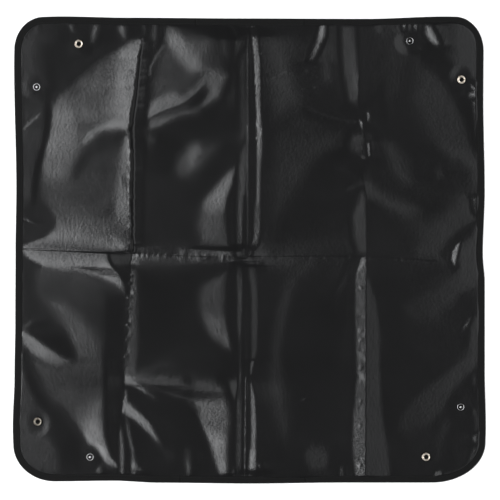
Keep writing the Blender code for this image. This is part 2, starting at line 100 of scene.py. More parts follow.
# Rounds in which the net finds its place between creases and edges that depend on each other
NET_ROUNDS = 4
CLOTH_INSET = 0.0008
# How far each storage crease wavers, and the lengths and starts of the waves in it
CREASE_WAVER = {"left_fold": 0.0007, "centre_fold": 0.0002, "right_fold": 0.0004}
CRINKLE_WAVES = ((0.0083, 0.0), (0.0131, 1.9), (0.0217, 4.1), (0.0370, 0.8))

# Rounds in which the cloth settles, first over every fourth point and then over all, and how
# often it is seen afresh where it lies as it wants to
COARSE_STEP = 4
COARSE_ROUNDS = 1000
FINE_ROUNDS = 240
ROUNDS_BETWEEN = 20
OVERSHOOT = 1.9
LEAST_CELL = 0.0001
# How firmly the cloth keeps to no slope where none is wanted, and to what lies in front of and
# behind it, how far a fold reaches before it sinks back, and the highest and lowest it may lie
FREE_WEIGHT = 0.03
SIDE_STIFFNESS = 0.035
LEVEL_REACH = 0.30
HIGHEST = 0.0143
SAG = 0.0004
# How far it stands up at the tape on the right, over how much of X that begins, how steeply the
# limit climbs away from the tape, and the width of the drop beside it
HEM_LIFT = 0.0022
LIFT_START = 0.05
HEM_CLIMB = 0.30
HEM_FADE = 0.004
RIM_SPACING = 0.012

# Shiny cloth looks brighter as it turns towards a light: its slope to the right goes with the
# logarithm of its shade over the room's own shade, rising towards the softbox and falling
# towards the fill light, and more to the right as X grows
ROOM_SHADE = 32
LEAST_GLOW = 1.4
SOFTBOX_SLOPE = -0.0235
SOFTBOX_TURN = 0.0325
FILL_SLOPE = -0.035
FILL_TURN = -0.0205
SLOPE_DRIFT = 0.168
BLACK_FALLS = (-0.8, -0.45)
# Up to these a facet is black, dark or lit by the fill, which reaches out to FILL_REACH
BLACK_SHADE = 19
DARK_SHADE = 36
FILL_SHADE = 64
FILL_REACH = 0.117
# Brighter facets keep their lean more firmly, and lean further, to make up for their soft edges
FIRM_SHADE = 38
FIRM_STEP = 16
FIRMEST = 3
BRIGHT_SHADE = 44
SHADE_LOSS = 0.24
# Soft edges of at least this many pixels are spread, but not round small facets
SOFT_EDGE = 2
EDGE_SPREAD = 1.4
SMALL_FACET = 0.023

# Ranges that the ripples are drawn from, as shares of their row's values, and in radians
RIPPLE_FIRST = (0.2, 1.0)
RIPPLE_GAP = (0.55, 1.5)
RIPPLE_TILT = (-0.35, 0.35)
RIPPLE_HALF = (0.3, 0.65)
RIPPLE_WIDE = (0.7, 1.3)
RIPPLE_RISE = (0.35, 1.0)
# Share of ripples that stand up, how far the others sink, and the share over which each fades
RIPPLES_UP = 0.75
RIPPLE_DIP = -0.6
RIPPLE_TAPER = 0.45

PANELS = ("outer_left", "inner_left", "inner_right", "outer_right")
# Each piece of cloth crosses one crease, and ends half way over the panels beside it
PIECES = {
    "left": ("outer_left", "inner_left", "left_fold"),
    "centre": ("inner_left", "inner_right", "centre_fold"),
    "right": ("inner_right", "outer_right", "right_fold"),
}

# Middle of each press fastener
SNAPS = {
    ("front_left", "socket"): (-0.3069, -0.2488),
    ("front_left", "stud"): (-0.2309, -0.3003),
    ("front_right", "socket"): (0.2563, -0.2999),
    ("front_right", "stud"): (0.3069, -0.2279),
    ("back_right", "socket"): (0.3076, 0.2470),
    ("back_right", "stud"): (0.2330, 0.3032),
    ("back_left", "socket"): (-0.2473, 0.2988),
    ("back_left", "stud"): (-0.3083, 0.2364),
}

# Tape
TAPE_LEAF = 0.0004
TAPE_STATION = 0.002
# How far in from the tape's outer edge it is painted darker as shade round its fold
TAPE_RIM = 0.0026
# In millimetres, how far in from the lip its corner is rounded, and the groove that the seam
# presses beside it: how far in from the lip, and how much above the tape's top
LIP_ROUND = 0.15
SEAM_GROOVE = ((1.3, 0.02), (1.8, -0.06), (2.3, 0.03))
# The tape's slight crown: shares of its reach, and millimetres above its top
TAPE_CROWN = ((0.5, 0.12), (0.25, 0.08))
FOLD_STEPS = 8
FOLD_RUN = 1.6
# Waves of the lip and of the crown round the whole edge, and how far they go
LIP_WAVES, LIP_WAVER = 60, 0.0003
CROWN_WAVES, CROWN_WAVER = 90, 0.00012
WAVES_MIXED = 5

# Stitches: the thread's sides and rings, how much a stitch leans, its share of the step, and how
# much thinner and lower it is where it dives into the tape
STITCH_STEP = 0.003
THREAD_RADIUS = 0.0002
THREAD_SIDES = 6
THREAD_RINGS = 5
STITCH_SKEW = (-0.07, 0.07)
STITCH_LENGTH = (0.80, 0.88)
THREAD_PINCH = 0.45
THREAD_PROUD = 0.7
THREAD_DIVE = 1.3
UNDER_RISE = 0.5

# Turned metal
TURN_STEPS = 56
ROUND_STEPS = 4
ROUND_RADIUS = 0.1
ROUND_SHARE = 0.48
SHARP_ANGLE = 50.0
SOCKET_DENTS = 0.004
STUD_DENTS = 0.003
# How far the dents of each socket are turned, per metre of its X
DENT_TURN = 9.0
CAP_THICK = 0.0008
SPRING_WIRE = 0.0006
SPRING_RADIUS = 0.00265
SPRING_OPENING = 0.9
SPRING_HEIGHT = 0.0020
SPRING_STEPS = 40
SPRING_SIDES = 8
# Share of each half of the spring that stays round, and how far its end turns out
SPRING_ROUND = 0.9
SPRING_FLARE = 0.0004

# Profiles in millimetres: radius, height above the seat, and the radius of a rounded corner.
# The cap, from its rolled post round to the middle of its underside
CAP_PROFILE = (
    (0, -0.05), (0.9, -0.05), (0.9, 1.8, 0.2), (1.3, 2.05, 0.3), (2.1, 1.9, 0.3),
    (1.9, 1.55, 0.2), (1.4, 1.6, 0.2), (1.4, 0.0, 0.2), (5.9, 0.0, 0.3), (6.2, -0.3, 0.3),
    (5.9, -0.72, 0.5), (4.2, -0.8, 1.0), (0, -0.8),
)
# The socket: a rolled outer rim, a dished face and a lip turned down into its mouth
SOCKET_PROFILE = (
    (2.55, 2.55, 0.1), (2.55, 3.05, 0.25), (3.1, 3.3, 0.5), (4.0, 3.05, 0.6), (4.7, 3.1, 0.5),
    (5.5, 3.3, 0.6), (6.3, 2.6, 0.7), (6.3, 0.45, 0.4), (6.1, 0.0, 0.2), (1.7, 0.0, 0.1),
    (1.7, 0.6, 0.1), (5.2, 0.6, 0.3), (5.5, 2.2, 0.4), (4.6, 2.6, 0.4),
)
# The stud: a flanged base with a raised rim, and a necked nub with a crown
STUD_PROFILE = (
    (0, 3.5), (1.1, 3.42, 0.5), (2.15, 3.1, 0.6), (2.3, 2.5, 0.3), (2.05, 1.7, 0.4),
    (2.15, 0.9, 0.3), (2.6, 0.6, 0.3), (3.7, 0.55, 0.4), (4.2, 1.0, 0.3), (4.8, 1.15, 0.4),
    (5.4, 0.75, 0.4), (5.4, 0.1, 0.2), (5.2, 0.0, 0.1), (1.8, 0.0, 0.1), (1.8, 2.85, 0.2),
    (0, 2.9),
)
# The eyelet under a stud, with its straight post up into the nub
EYELET_PROFILE = (
    (1.4, 3.75, 0.15), (1.4, 0.1, 0.1), (5.0, 0.0, 0.2), (5.2, -0.3, 0.2), (4.9, -0.72, 0.4),
    (3.6, -0.8, 0.6), (1.5, -0.8, 0.5), (0.9, -0.3, 0.3), (0.9, 3.75, 0.15),
)
# Rings of the fasteners painted dark as shade, from one radius to another, and that shade's colour
# They are the mouth of each socket, the hollow round each stud's nub, and the outer edge of each
SOCKET_SHADE = ((0.0, 0.0034), (0.0060, 0.0070))
STUD_SHADE = ((0.0016, 0.0042), (0.0050, 0.0060))
SHADE_COLOUR = (0.010, 0.009, 0.008)
# Colour of tarnish, as shares of the plating's colour, and of the drawn wire, painted near black as
# shade
SOCKET_TARNISH = (0.34, 0.29, 0.24)
STUD_TARNISH = (0.5, 0.5, 0.5)
SHADED_WIRE_COLOUR = (0.05, 0.05, 0.05)
SHADED_WIRE_DARKER = (0.02, 0.02, 0.02)
# Share by which each fastener's plating colour is scaled
PLATING_SCALES = {
    ("front_left", "socket"): 0.42,
    ("front_left", "stud"): 1.5,
    ("front_right", "socket"): 1.25,
    ("front_right", "stud"): 1.6,
    ("back_right", "socket"): 1.6,
    ("back_right", "stud"): 1.0,
    ("back_left", "socket"): 1.0,
    ("back_left", "stud"): 1.8,
}
# Reach of the shadow painted on the coating round each fastener, and of its soft edge
SHADOW_RING_REACH = {"socket": 0.0078, "stud": 0.0064}
SHADOW_RING_EDGE = 0.0009

# Stage
CAMERA_X = 0.0011
CAMERA_HEIGHT = 6.0
VIEW_WIDTH = 0.7254
SENSOR_WIDTH = 36.0
FARTHEST_SEEN = 100.0
SOFTBOX_SIZE = (2.9, 5.3)
SOFTBOX_PLACE = (-2.72, 0.17, 5.0)
FILL_PLACE = (2.4, 0.17, 5.0)
FLOOR_WIDTH = 30.0
FLOOR_GAP = 0.0002
# From one distance to the other the floor turns to plain white
FLOOR_FADE = (0.8, 3.0)
# Heights of a direction between which the white horizon turns to the dim room
HORIZON = (0.06, 0.40)
WHITE = (1.0, 1.0, 1.0, 1.0)
BLACK = (0.0, 0.0, 0.0, 1.0)

# The photograph's pixel over the middle of the mat, and the mat's width in pixels
MIDDLE_PIXEL = (249.25, 250.0)
WIDTH_PIXELS = 468.7
PIXEL = MAT_WIDTH / WIDTH_PIXELS

# Storage creases as they wander, and the middle cross crease, in the photograph's pixels
CREASE_PIXELS = {
    "left_fold": (
        (142.5, 18), (141.7, 40), (138, 60), (134, 93), (130, 117), (129, 133), (131, 160),
        (130, 193), (131, 243), (131.7, 253), (130.5, 270), (130, 293), (128, 328), (127, 348),
        (125, 368), (124, 377), (125, 388), (122.5, 403), (121.7, 420), (118, 437), (117.5, 462),
        (117, 482),
    ),
    "centre_fold": (
        (248.7, 18), (248.6, 247), (247, 256), (246, 300), (246.5, 372), (246, 420), (245.5, 482),
    ),
    "right_fold": (
        (359, 17), (359, 25), (359, 70), (358, 106), (362, 120), (366, 157), (363, 178),
        (366, 200), (366.3, 257), (366, 300), (366, 380), (365.5, 482),
    ),
}
CROSS_PIXELS = (
    (15, 248.5), (80, 251), (131, 253.5), (185, 255), (234, 257.5), (247, 257.5), (305, 257),
    (363, 257.5), (410, 260), (452, 262), (484, 262),
)
CURVE_STEPS = 6

# Facets that the folds left in the cloth, each laid over those before it: its outline and the
# width of its soft edge in the photograph's pixels, how bright it stands under the lights, and
# how firmly the cloth keeps its lean where that isn't 1
FACET_PIXELS = {
    ("outer_left", "back"): (
        (((20, 20), (150, 20), (150, 260), (20, 260)), 2, 38, 0.35),
        (((22, 44), (26, 33), (34, 28), (38, 40), (36, 60), (33, 75), (28, 92), (22, 94)), 5, 49),
        (((40, 45), (60, 32), (88, 30), (110, 32), (120, 42), (105, 50), (84, 62), (66, 80),
          (54, 94), (44, 88), (40, 66)), 7, 32, 0.6),
        (((150, 36), (132, 44), (118, 51), (104, 57), (90, 66), (78, 76), (67, 89), (57, 98),
          (52, 108), (49, 128), (44, 146), (41, 165), (42, 186), (48, 202), (56, 216), (90, 216),
          (118, 206), (150, 200)), 8, 64),
        (((150, 38), (128, 46), (112, 54), (98, 62), (84, 74), (74, 88), (72, 104), (80, 120),
          (96, 122), (112, 112), (150, 110)), 7, 82),
        (((68, 88), (58, 98), (52, 108), (49, 128), (44, 148), (42, 166), (46, 182), (58, 180),
          (72, 170), (76, 150), (76, 120), (76, 100)), 5, 92),
        (((60, 97), (53, 108), (50, 126), (60, 134), (72, 130), (73, 112), (70, 100)), 6, 116),
        (((50, 128), (46, 146), (56, 154), (70, 150), (73, 134), (60, 130)), 7, 104),
        (((42, 178), (58, 182), (62, 200), (50, 206), (43, 196)), 8, 62),
        (((120, 48), (112, 62), (110, 84), (106, 100), (108, 116), (128, 124), (150, 120),
          (150, 40), (132, 44)), 6, 100),
        (((128, 44), (119, 60), (116, 84), (116, 104), (122, 118), (150, 118), (150, 36)), 4, 133),
        (((84, 142), (90, 132), (102, 124), (114, 119), (130, 118), (150, 118), (150, 131),
          (118, 131), (104, 132), (94, 138)), 3.5, 138, 1.5),
        (((84, 143), (88, 134), (96, 128), (98, 134), (90, 141)), 3, 104),
        (((100, 134), (116, 132), (128, 133), (124, 142), (116, 150), (104, 154), (90, 160),
          (82, 172), (78, 182), (72, 180), (76, 166), (84, 152), (92, 142)), 5, 40),
        (((92, 156), (112, 150), (114, 170), (112, 200), (86, 214), (66, 214), (60, 200), (64, 186),
          (82, 176)), 8, 53),
        (((150, 132), (130, 132), (125, 138), (121, 152), (118, 172), (116, 194), (113, 214),
          (112, 232), (150, 250)), 4, 88),
        (((150, 132), (130, 133), (126, 140), (124, 152), (128, 160), (150, 160)), 3, 112),
        (((122, 174), (127, 176), (129, 188), (130, 194), (126, 190), (122, 182)), 2, 62),
        (((52, 216), (66, 214), (112, 214), (122, 222), (150, 232), (150, 246), (52, 246),
          (48, 236), (50, 228)), 7, 68),
        (((22, 251), (22, 243), (32, 239), (44, 235), (52, 232), (84, 234), (110, 238), (124, 244),
          (130, 262), (22, 262)), 4, 128, 3),
        (((22, 251), (22, 243), (34, 240), (50, 238), (70, 238), (70, 262), (22, 262)), 3, 138, 3),
        (((112, 236), (118, 238), (126, 244), (131, 252), (124, 262), (112, 262)), 4, 120, 2),
        (((22, 205), (35, 202), (44, 208), (53, 220), (53, 227), (42, 235), (22, 242)), 4, 31, 0.8),
        (((22, 104), (36, 94), (45, 104), (46, 116), (44, 136), (38, 156), (33, 170), (30, 196),
          (22, 200)), 4, 50),
        (((48, 102), (51, 112), (49, 132), (44, 150), (40, 166), (38, 184), (37, 200), (32, 200),
          (33, 182), (37, 162), (42, 146), (45, 128), (46, 112)), 2, 24),
        (((22, 130), (26, 124), (34, 117), (40, 113), (39, 117), (32, 123), (25, 130)), 1.5, 92),
        (((22, 137), (26, 134), (27, 139), (23, 144)), 2, 52),
        (((22, 218), (27, 218), (36, 223), (30, 223), (24, 221)), 2, 68),
        (((68, 24), (73, 24), (75, 33), (71, 32)), 2.5, 82),
        (((93, 24), (99, 24), (98, 32), (94, 44), (88, 45), (90, 36)), 3, 104, 1.5),
        (((117, 24), (126, 24), (126, 38), (123, 40), (118, 32)), 3, 104, 1.5),
        (((34, 24), (38, 26), (39, 34), (35, 36)), 3, 52),
        (((122, 46), (125, 62), (123, 74), (120, 60)), 1.5, 118),
        (((128, 70), (134, 70), (135, 74), (128, 77)), 2, 100),
        (((127, 84), (133, 84), (133, 92), (126, 92)), 2, 112),
    ),
    ("outer_left", "front"): (
        (((20, 245), (150, 245), (150, 480), (20, 480)), 2, 41, 0.35),
        (((22, 240), (150, 240), (150, 300), (22, 300)), 2, 41, 0.3),
        (((22, 240), (22, 251), (26, 257), (33, 264), (46, 268), (62, 271), (82, 272), (96, 277),
          (108, 282), (118, 288), (126, 295), (124, 284), (119, 274), (113, 267), (110, 262),
          (108, 240)), 5, 120, 1.5),
        (((22, 240), (24, 254), (34, 262), (50, 266), (104, 266), (108, 260), (107, 240)), 3, 132,
          2),
        (((98, 262), (108, 258), (112, 266), (119, 274), (123, 284), (110, 280), (100, 272)), 3,
          136, 2),
        (((109, 240), (109, 258), (112, 265), (119, 273), (124, 283), (127, 294), (150, 294),
          (150, 240)), 2, 31),
        (((22, 262), (36, 268), (36, 310), (24, 320), (22, 300)), 6, 36),
        (((40, 274), (70, 276), (76, 290), (72, 304), (44, 304), (38, 290)), 8, 42),
        (((78, 280), (108, 286), (122, 296), (122, 320), (104, 320), (84, 304), (76, 294)), 7, 40),
        (((48, 300), (66, 302), (82, 316), (94, 330), (102, 346), (105, 362), (105, 384), (74, 374),
          (73, 352), (67, 334), (58, 318)), 6, 63),
        (((22, 331), (30, 326), (46, 325), (60, 329), (68, 338), (74, 354), (66, 358), (52, 349),
          (34, 338)), 4, 29),
        (((22, 331), (32, 336), (44, 345), (58, 354), (70, 359), (70, 363), (58, 366), (44, 363),
          (32, 355), (24, 344)), 3, 104),
        (((22, 331), (30, 336), (40, 343), (50, 350), (60, 358), (50, 361), (38, 354), (25, 343)),
          3, 106),
        (((22, 324), (30, 320), (34, 320), (30, 326), (23, 328)), 2.5, 62),
        (((27, 350), (40, 363), (58, 367), (74, 364), (105, 362), (105, 400), (104, 430),
          (109, 450), (117, 466), (108, 464), (97, 456), (86, 444), (76, 430), (66, 415), (54, 402),
          (44, 388), (35, 372)), 6, 58),
        (((86, 406), (104, 396), (104, 430), (109, 448), (117, 465), (108, 463), (98, 455),
          (88, 444), (80, 430), (78, 416)), 7, 82),
        (((84, 424), (96, 420), (103, 430), (109, 448), (118, 466), (108, 463), (98, 455),
          (88, 444)), 5, 116),
        (((84, 434), (90, 434), (100, 444), (109, 454), (118, 466), (110, 464), (98, 456),
          (88, 445)), 2.5, 136),
        (((106, 296), (125, 296), (123, 330), (121, 366), (121, 400), (119, 432), (118, 462),
          (112, 456), (106, 436), (105, 400), (105, 350)), 3, 33),
        (((22, 350), (27, 352), (34, 372), (42, 391), (52, 406), (46, 412), (36, 402), (28, 386),
          (22, 368)), 3, 31),
        (((22, 378), (29, 394), (34, 408), (34, 436), (27, 448), (22, 444)), 4, 50),
        (((36, 442), (46, 438), (55, 450), (58, 468), (50, 476), (40, 468), (32, 456)), 5, 48),
        (((46, 410), (60, 410), (74, 428), (86, 448), (96, 460), (88, 470), (62, 470), (58, 450),
          (48, 434)), 5, 30),
        (((96, 465), (101, 465), (103, 477), (94, 477)), 2.5, 84),
        (((121, 328), (124, 328), (122, 370), (120, 402), (117, 402), (119, 366)), 1.5, 24),
    ),
    ("inner_left", "back"): (
        (((128, 20), (252, 20), (252, 262), (128, 262)), 2, 37, 0.35),
        (((120, 20), (150, 20), (148, 50), (146, 120), (143, 250), (120, 250)), 3, 33, 0.8),
        (((128, 38), (143, 38), (140, 62), (137, 95), (134, 118), (134, 200), (134, 250),
          (128, 250)), 1.5, 10),
        (((138, 24), (147, 24), (148, 36), (142, 38)), 3, 56),
        (((152, 24), (158, 24), (158, 36), (154, 42), (150, 36)), 3, 92, 2),
        (((166, 24), (216, 24), (220, 50), (228, 76), (206, 84), (184, 100), (150, 114), (150, 96),
          (154, 70), (160, 52)), 5, 58, 1.5),
        (((166, 24), (204, 24), (212, 44), (204, 58), (200, 72), (188, 74), (176, 58), (168, 44)),
          6, 78, 2),
        (((166, 24), (177, 24), (183, 36), (190, 48), (199, 60), (202, 70), (192, 71), (182, 62),
          (173, 50), (167, 38)), 4, 110, 2),
        (((166, 24), (175, 24), (179, 34), (182, 44), (174, 46), (167, 38)), 4, 134, 3),
        (((216, 24), (226, 24), (230, 44), (228, 60), (220, 52)), 5, 60, 1.5),
        (((228, 24), (236, 24), (238, 36), (234, 36)), 2.5, 116),
        (((240, 24), (247, 24), (247, 34), (241, 36)), 3, 46),
        (((152, 60), (158, 50), (167, 41), (168, 43), (160, 54), (153, 66), (150, 78), (148, 76),
          (149, 66)), 1.5, 76),
        (((152, 46), (157, 38), (159, 40), (154, 50)), 1.5, 60),
        (((147, 113), (151, 103), (162, 95), (174, 91), (182, 96), (194, 88), (202, 78), (206, 76),
          (205, 83), (195, 93), (182, 103), (168, 108), (156, 112), (149, 117)), 3, 96, 1.5),
        (((148, 116), (158, 110), (170, 106), (182, 101), (195, 91), (205, 80), (206, 83),
          (196, 94), (183, 104), (170, 108.5), (158, 113), (150, 118)), 1.5, 104),
        (((150, 119), (160, 114), (170, 110), (184, 105), (197, 95), (206, 84), (208, 86),
          (198, 98), (185, 108), (171, 112.5), (161, 117), (151, 122)), 2, 50),
        (((150, 121), (164, 114), (184, 108), (202, 106), (198, 115), (180, 119), (168, 125),
          (156, 131), (149, 129)), 4, 68, 1.5),
        (((151, 122), (160, 118), (162, 124), (155, 130), (150, 130)), 4, 78),
        (((206, 68), (218, 70), (228, 76), (223, 88), (221, 98), (208, 106), (202, 105), (207, 92),
          (205, 80)), 4, 80, 1.5),
        (((202, 106), (206, 99), (213, 91), (214, 94), (208, 101), (204, 107)), 2, 92),
        (((214, 80), (224, 76), (222, 86), (214, 92)), 4, 78),
        (((150, 132), (166, 127), (182, 120), (202, 118), (224, 104), (232, 82), (238, 60),
          (241, 90), (243, 132), (222, 138), (150, 141)), 4, 32),
        (((146, 136), (156, 135), (156, 142), (148, 146)), 4, 52),
        (((174, 172), (182, 152), (193, 142), (220, 142), (218, 152), (206, 164), (192, 178),
          (180, 178)), 6, 56),
        (((184, 162), (188, 146), (198, 142), (202, 150), (196, 166), (188, 170)), 5, 84),
        (((176, 168), (180, 156), (186, 154), (185, 166), (180, 172)), 5, 62),
        (((236, 168), (232, 186), (227, 202), (226, 216), (229, 232), (232, 248), (200, 248),
          (197, 226), (199, 208), (206, 196), (216, 186), (226, 174)), 6, 66),
        (((236, 168), (232, 184), (227, 200), (226, 212), (206, 212), (203, 204), (208, 196),
          (218, 185), (228, 173)), 4, 90),
        (((234, 172), (230, 186), (226, 196), (220, 202), (212, 200), (218, 188), (227, 178)), 5,
          106),
        (((239, 150), (238, 170), (236, 190), (236, 250), (231, 250), (228, 232), (226, 214),
          (228, 200), (233, 186), (236, 170)), 2, 30),
        (((240, 152), (246, 142), (248, 160), (245, 200), (243, 250), (236, 250), (237, 200),
          (238, 175)), 2, 60),
        (((238, 64), (246, 50), (247, 134), (240, 142)), 4, 54),
        (((244, 196), (247, 196), (246.5, 225), (246, 262), (242, 262), (243, 225)), 1.2, 30),
        (((246.6, 24), (252, 24), (252, 256), (246.6, 256)), 1, 60),
        (((246.6, 196), (252, 196), (252, 256), (246.6, 256)), 1, 48),
        (((136, 246), (234, 246), (234, 262), (136, 262)), 2, 76, 1.5),
        (((150, 247), (160, 247), (160, 262), (150, 262)), 2.5, 100),
        (((178, 248), (186, 248), (186, 262), (178, 262)), 2.5, 136, 2),
        (((189, 248), (200, 248), (200, 262), (189, 262)), 2.5, 136, 2),
        (((200, 248), (230, 248), (230, 262), (200, 262)), 3, 112, 2),
    ),
    ("inner_left", "front"): (
        (((115, 245), (252, 245), (252, 480), (115, 480)), 2, 33, 0.35),
        (((128, 240), (236, 240), (236, 264), (200, 264), (160, 266), (128, 266)), 2.5, 84, 1.5),
        (((128, 240), (138, 250), (144, 264), (138, 265), (132, 256)), 2.5, 122),
        (((173, 240), (181, 240), (184, 262), (178, 262)), 2, 124, 2),
        (((186, 240), (198, 240), (202, 262), (190, 262)), 2, 124, 2),
        (((198, 240), (233, 240), (234, 263), (204, 263)), 2.5, 98),
        (((152, 240), (158, 240), (158, 263), (154, 263)), 2, 104, 1.5),
        (((140, 262), (234, 264), (232, 272), (140, 270)), 4, 46),
        (((120, 266), (138, 268), (139, 300), (140, 330), (139, 346), (135, 372), (115, 372)), 2.5,
          60),
        (((120, 332), (138, 332), (139, 346), (135, 372), (120, 372)), 3, 58),
        (((142, 274), (196, 274), (190, 300), (176, 340), (142, 356)), 8, 30, 0.8),
        (((200, 284), (228, 270), (227, 300), (226, 315), (229, 330), (237, 350), (222, 349),
          (208, 336), (199, 318), (197, 300)), 5, 51),
        (((202, 316), (226, 315), (229, 330), (237, 350), (226, 347), (212, 338)), 4, 64),
        (((222, 336), (230, 332), (237, 350), (230, 349)), 3, 72),
        (((140, 369), (160, 360), (182, 361), (180, 367), (156, 369), (140, 373)), 3, 47),
        (((229, 266), (236, 262), (236, 300), (235, 330), (239, 348), (238, 362), (233, 372),
          (229, 385), (232, 402), (236, 420), (234, 478), (228, 478), (230, 430), (229, 402),
          (225, 384), (226, 372), (234, 360), (231, 346), (227, 318), (227, 290)), 2, 28),
        (((236, 258), (243, 258), (243, 300), (241, 340), (242, 372), (243, 478), (235, 478),
          (236, 420), (236, 400), (239, 372), (240, 348), (237, 330), (237, 300)), 1.5, 54),
        (((242.5, 250), (246.5, 258), (246, 300), (245, 330), (244, 370), (241, 370), (242, 330),
          (243, 300)), 1.2, 26),
        (((243, 378), (244.5, 378), (243.5, 478), (241.5, 478)), 1.2, 26),
        (((246, 296), (250, 296), (250, 374), (246, 374)), 1, 74),
        (((244.6, 376), (250, 376), (250, 478), (243.6, 478)), 1, 126, 2),
        (((115, 373), (150, 374), (182, 376), (193, 385), (190, 400), (176, 398), (160, 393),
          (145, 388), (130, 382)), 5, 82, 1.5),
        (((158, 378), (180, 378), (186, 388), (182, 396), (168, 392)), 5, 94, 1.2),
        (((190, 376), (214, 377), (226, 386), (229, 402), (231, 420), (228, 478), (219, 478),
          (213, 460), (208, 442), (201, 426), (196, 412), (188, 400)), 5, 76, 1.5),
        (((206, 398), (222, 396), (229, 410), (228, 430), (212, 430), (203, 416)), 6, 76),
        (((196, 411), (200, 414), (209, 430), (213, 440), (208, 440), (201, 428)), 2, 88),
        (((207, 430), (214, 430), (226, 436), (227, 478), (219, 478), (214, 460), (209, 444)), 4,
          114),
        (((209, 437), (224, 441), (224, 444), (209, 440)), 1.5, 134),
        (((218, 462), (226, 462), (227, 478), (219, 478)), 3, 138, 2),
        (((115, 372), (124, 374), (134, 378), (143, 386), (152, 394), (160, 400), (150, 399),
          (140, 393), (130, 386), (115, 386)), 3, 112),
        (((115, 374), (126, 376), (136, 381), (142, 388), (132, 386), (115, 384)), 2.5, 140, 2),
        (((115, 388), (130, 388), (142, 395), (154, 401), (180, 402), (190, 408), (196, 420),
          (202, 436), (206, 452), (190, 454), (166, 448), (158, 430), (150, 414), (138, 404),
          (126, 398), (115, 398)), 4, 31),
        (((121, 398), (130, 403), (142, 413), (152, 424), (160, 438), (163, 448), (154, 443),
          (144, 432), (134, 421), (115, 412)), 3, 104),
        (((121, 401), (130, 405), (141, 414), (150, 424), (152, 432), (144, 430), (134, 420),
          (115, 411)), 2.5, 112),
        (((124, 388), (128, 390), (128, 402), (124, 400)), 2, 92),
        (((124, 416), (140, 428), (152, 442), (164, 452), (184, 460), (184, 478), (146, 478),
          (138, 460), (130, 436)), 4, 31),
        (((156, 446), (172, 450), (180, 458), (166, 460)), 5, 44),
        (((184, 456), (190, 456), (192, 478), (186, 478)), 3, 112, 1.5),
        (((182, 448), (192, 446), (194, 460), (184, 460)), 5, 46),
        (((118, 424), (123, 430), (125, 446), (125, 478), (119, 478), (119, 450)), 2, 86),
        (((126, 414), (130, 428), (135, 450), (136, 478), (131, 478), (131, 454), (126, 432)), 2,
          92),
        (((131, 462), (136, 462), (136, 478), (131, 478)), 2, 128),
        (((136, 462), (142, 468), (147, 478), (136, 478)), 2.5, 80),
    ),
    ("inner_right", "back"): (
        (((245, 20), (372, 20), (372, 262), (245, 262)), 2, 32, 0.35),
        (((246, 24), (252.5, 24), (253, 60), (253, 110), (255, 140), (254, 200), (252, 236),
          (246, 250)), 1.5, 26),
        (((250.5, 25), (257, 25), (259, 45), (260.5, 60), (261, 80), (261, 110), (262, 130),
          (263, 142), (262, 165), (261, 200), (260, 230), (258, 245), (254, 254), (248, 256),
          (251, 246), (254.5, 235), (255.5, 200), (256, 170), (257, 140), (256, 110), (254.5, 85),
          (254, 60), (252, 42)), 1.5, 118, 3),
        (((250.5, 25), (257, 25), (259, 45), (260.5, 60), (261, 80), (261, 110), (262, 130),
          (263, 142), (262, 160), (257, 156), (257, 140), (256, 110), (254.5, 85), (254, 60),
          (252, 42)), 1.5, 142, 5),
        (((254, 205), (261, 205), (260, 230), (258, 245), (254, 254), (250, 254), (253, 240)), 2,
          66),
        (((263, 24), (266, 60), (266, 140), (265, 200), (262, 240), (261, 230), (262.5, 200),
          (264, 142), (262.5, 110), (262, 70), (259, 30)), 1.5, 29),
        (((262, 24), (276, 28), (285, 48), (292, 65), (298, 82), (305, 98), (298, 110), (282, 122),
          (270, 122), (268, 100), (268, 70), (265, 45)), 11, 50),
        (((298, 26), (318, 30), (306, 60), (322, 84), (340, 88), (342, 108), (318, 108), (304, 92),
          (296, 70)), 10, 31),
        (((320, 24), (326, 24), (325, 38), (320, 50), (314, 61), (308, 61), (312, 48), (317, 38)),
          3, 100, 1.5),
        (((320, 24), (326, 24), (325, 36), (320, 42), (317, 40)), 2.5, 124),
        (((320, 58), (328, 60), (332, 80), (324, 82)), 4, 49),
        (((340, 24), (356, 24), (359, 60), (362, 85), (362, 108), (348, 102), (343, 80), (340, 50)),
          3.5, 56),
        (((352, 74), (362, 72), (362, 94), (354, 92)), 3, 62),
        (((300, 102), (312, 109), (335, 117), (358, 121), (358, 124), (334, 120), (311, 112)), 2,
          46),
        (((270, 126), (298, 112), (346, 126), (350, 136), (336, 150), (316, 166), (302, 190),
          (286, 212), (272, 234), (266, 200), (267, 160)), 10, 43),
        (((300, 206), (330, 178), (348, 196), (350, 250), (264, 250), (282, 226)), 10, 29, 1.5),
        (((346, 145), (352, 134), (366, 132), (366, 152), (358, 156), (350, 152)), 4, 50),
        (((358, 119), (362, 121), (366, 130), (364, 133), (361, 128)), 1.2, 124),
        (((360, 155), (366, 155), (366, 160), (361, 159)), 1.5, 64),
        (((330, 164), (344, 166), (362, 178), (362, 182), (350, 177), (336, 171)), 4, 42),
        (((346, 188), (352, 184), (366, 180), (366, 186), (356, 188), (348, 192)), 3, 54),
        (((360, 192), (366, 190), (372, 256), (358, 254), (352, 242), (350, 216), (356, 202)), 3.5,
          55),
        (((252, 250), (258, 248), (268, 250), (268, 262), (254, 262)), 3, 52),
    ),
    ("inner_right", "front"): (
        (((245, 245), (372, 245), (372, 480), (245, 480)), 2, 30, 0.35),
        (((246, 244), (254, 262), (258, 290), (258.5, 320), (258, 350), (255, 362), (251, 375),
          (249.5, 375), (250.5, 350), (250.5, 300)), 2, 60),
        (((250, 360), (255, 360), (252, 375), (249.5, 375)), 1.5, 72),
        (((249.5, 378), (253, 385), (256, 400), (257, 430), (256, 460), (255.5, 478), (248, 478),
          (250, 455), (250.5, 430), (250, 400)), 1.5, 90),
        (((249, 450), (256, 450), (255.5, 478), (247.5, 478)), 2, 134),
        (((259, 262), (264, 262), (264, 350), (260, 372), (262, 430), (262, 478), (257.5, 478),
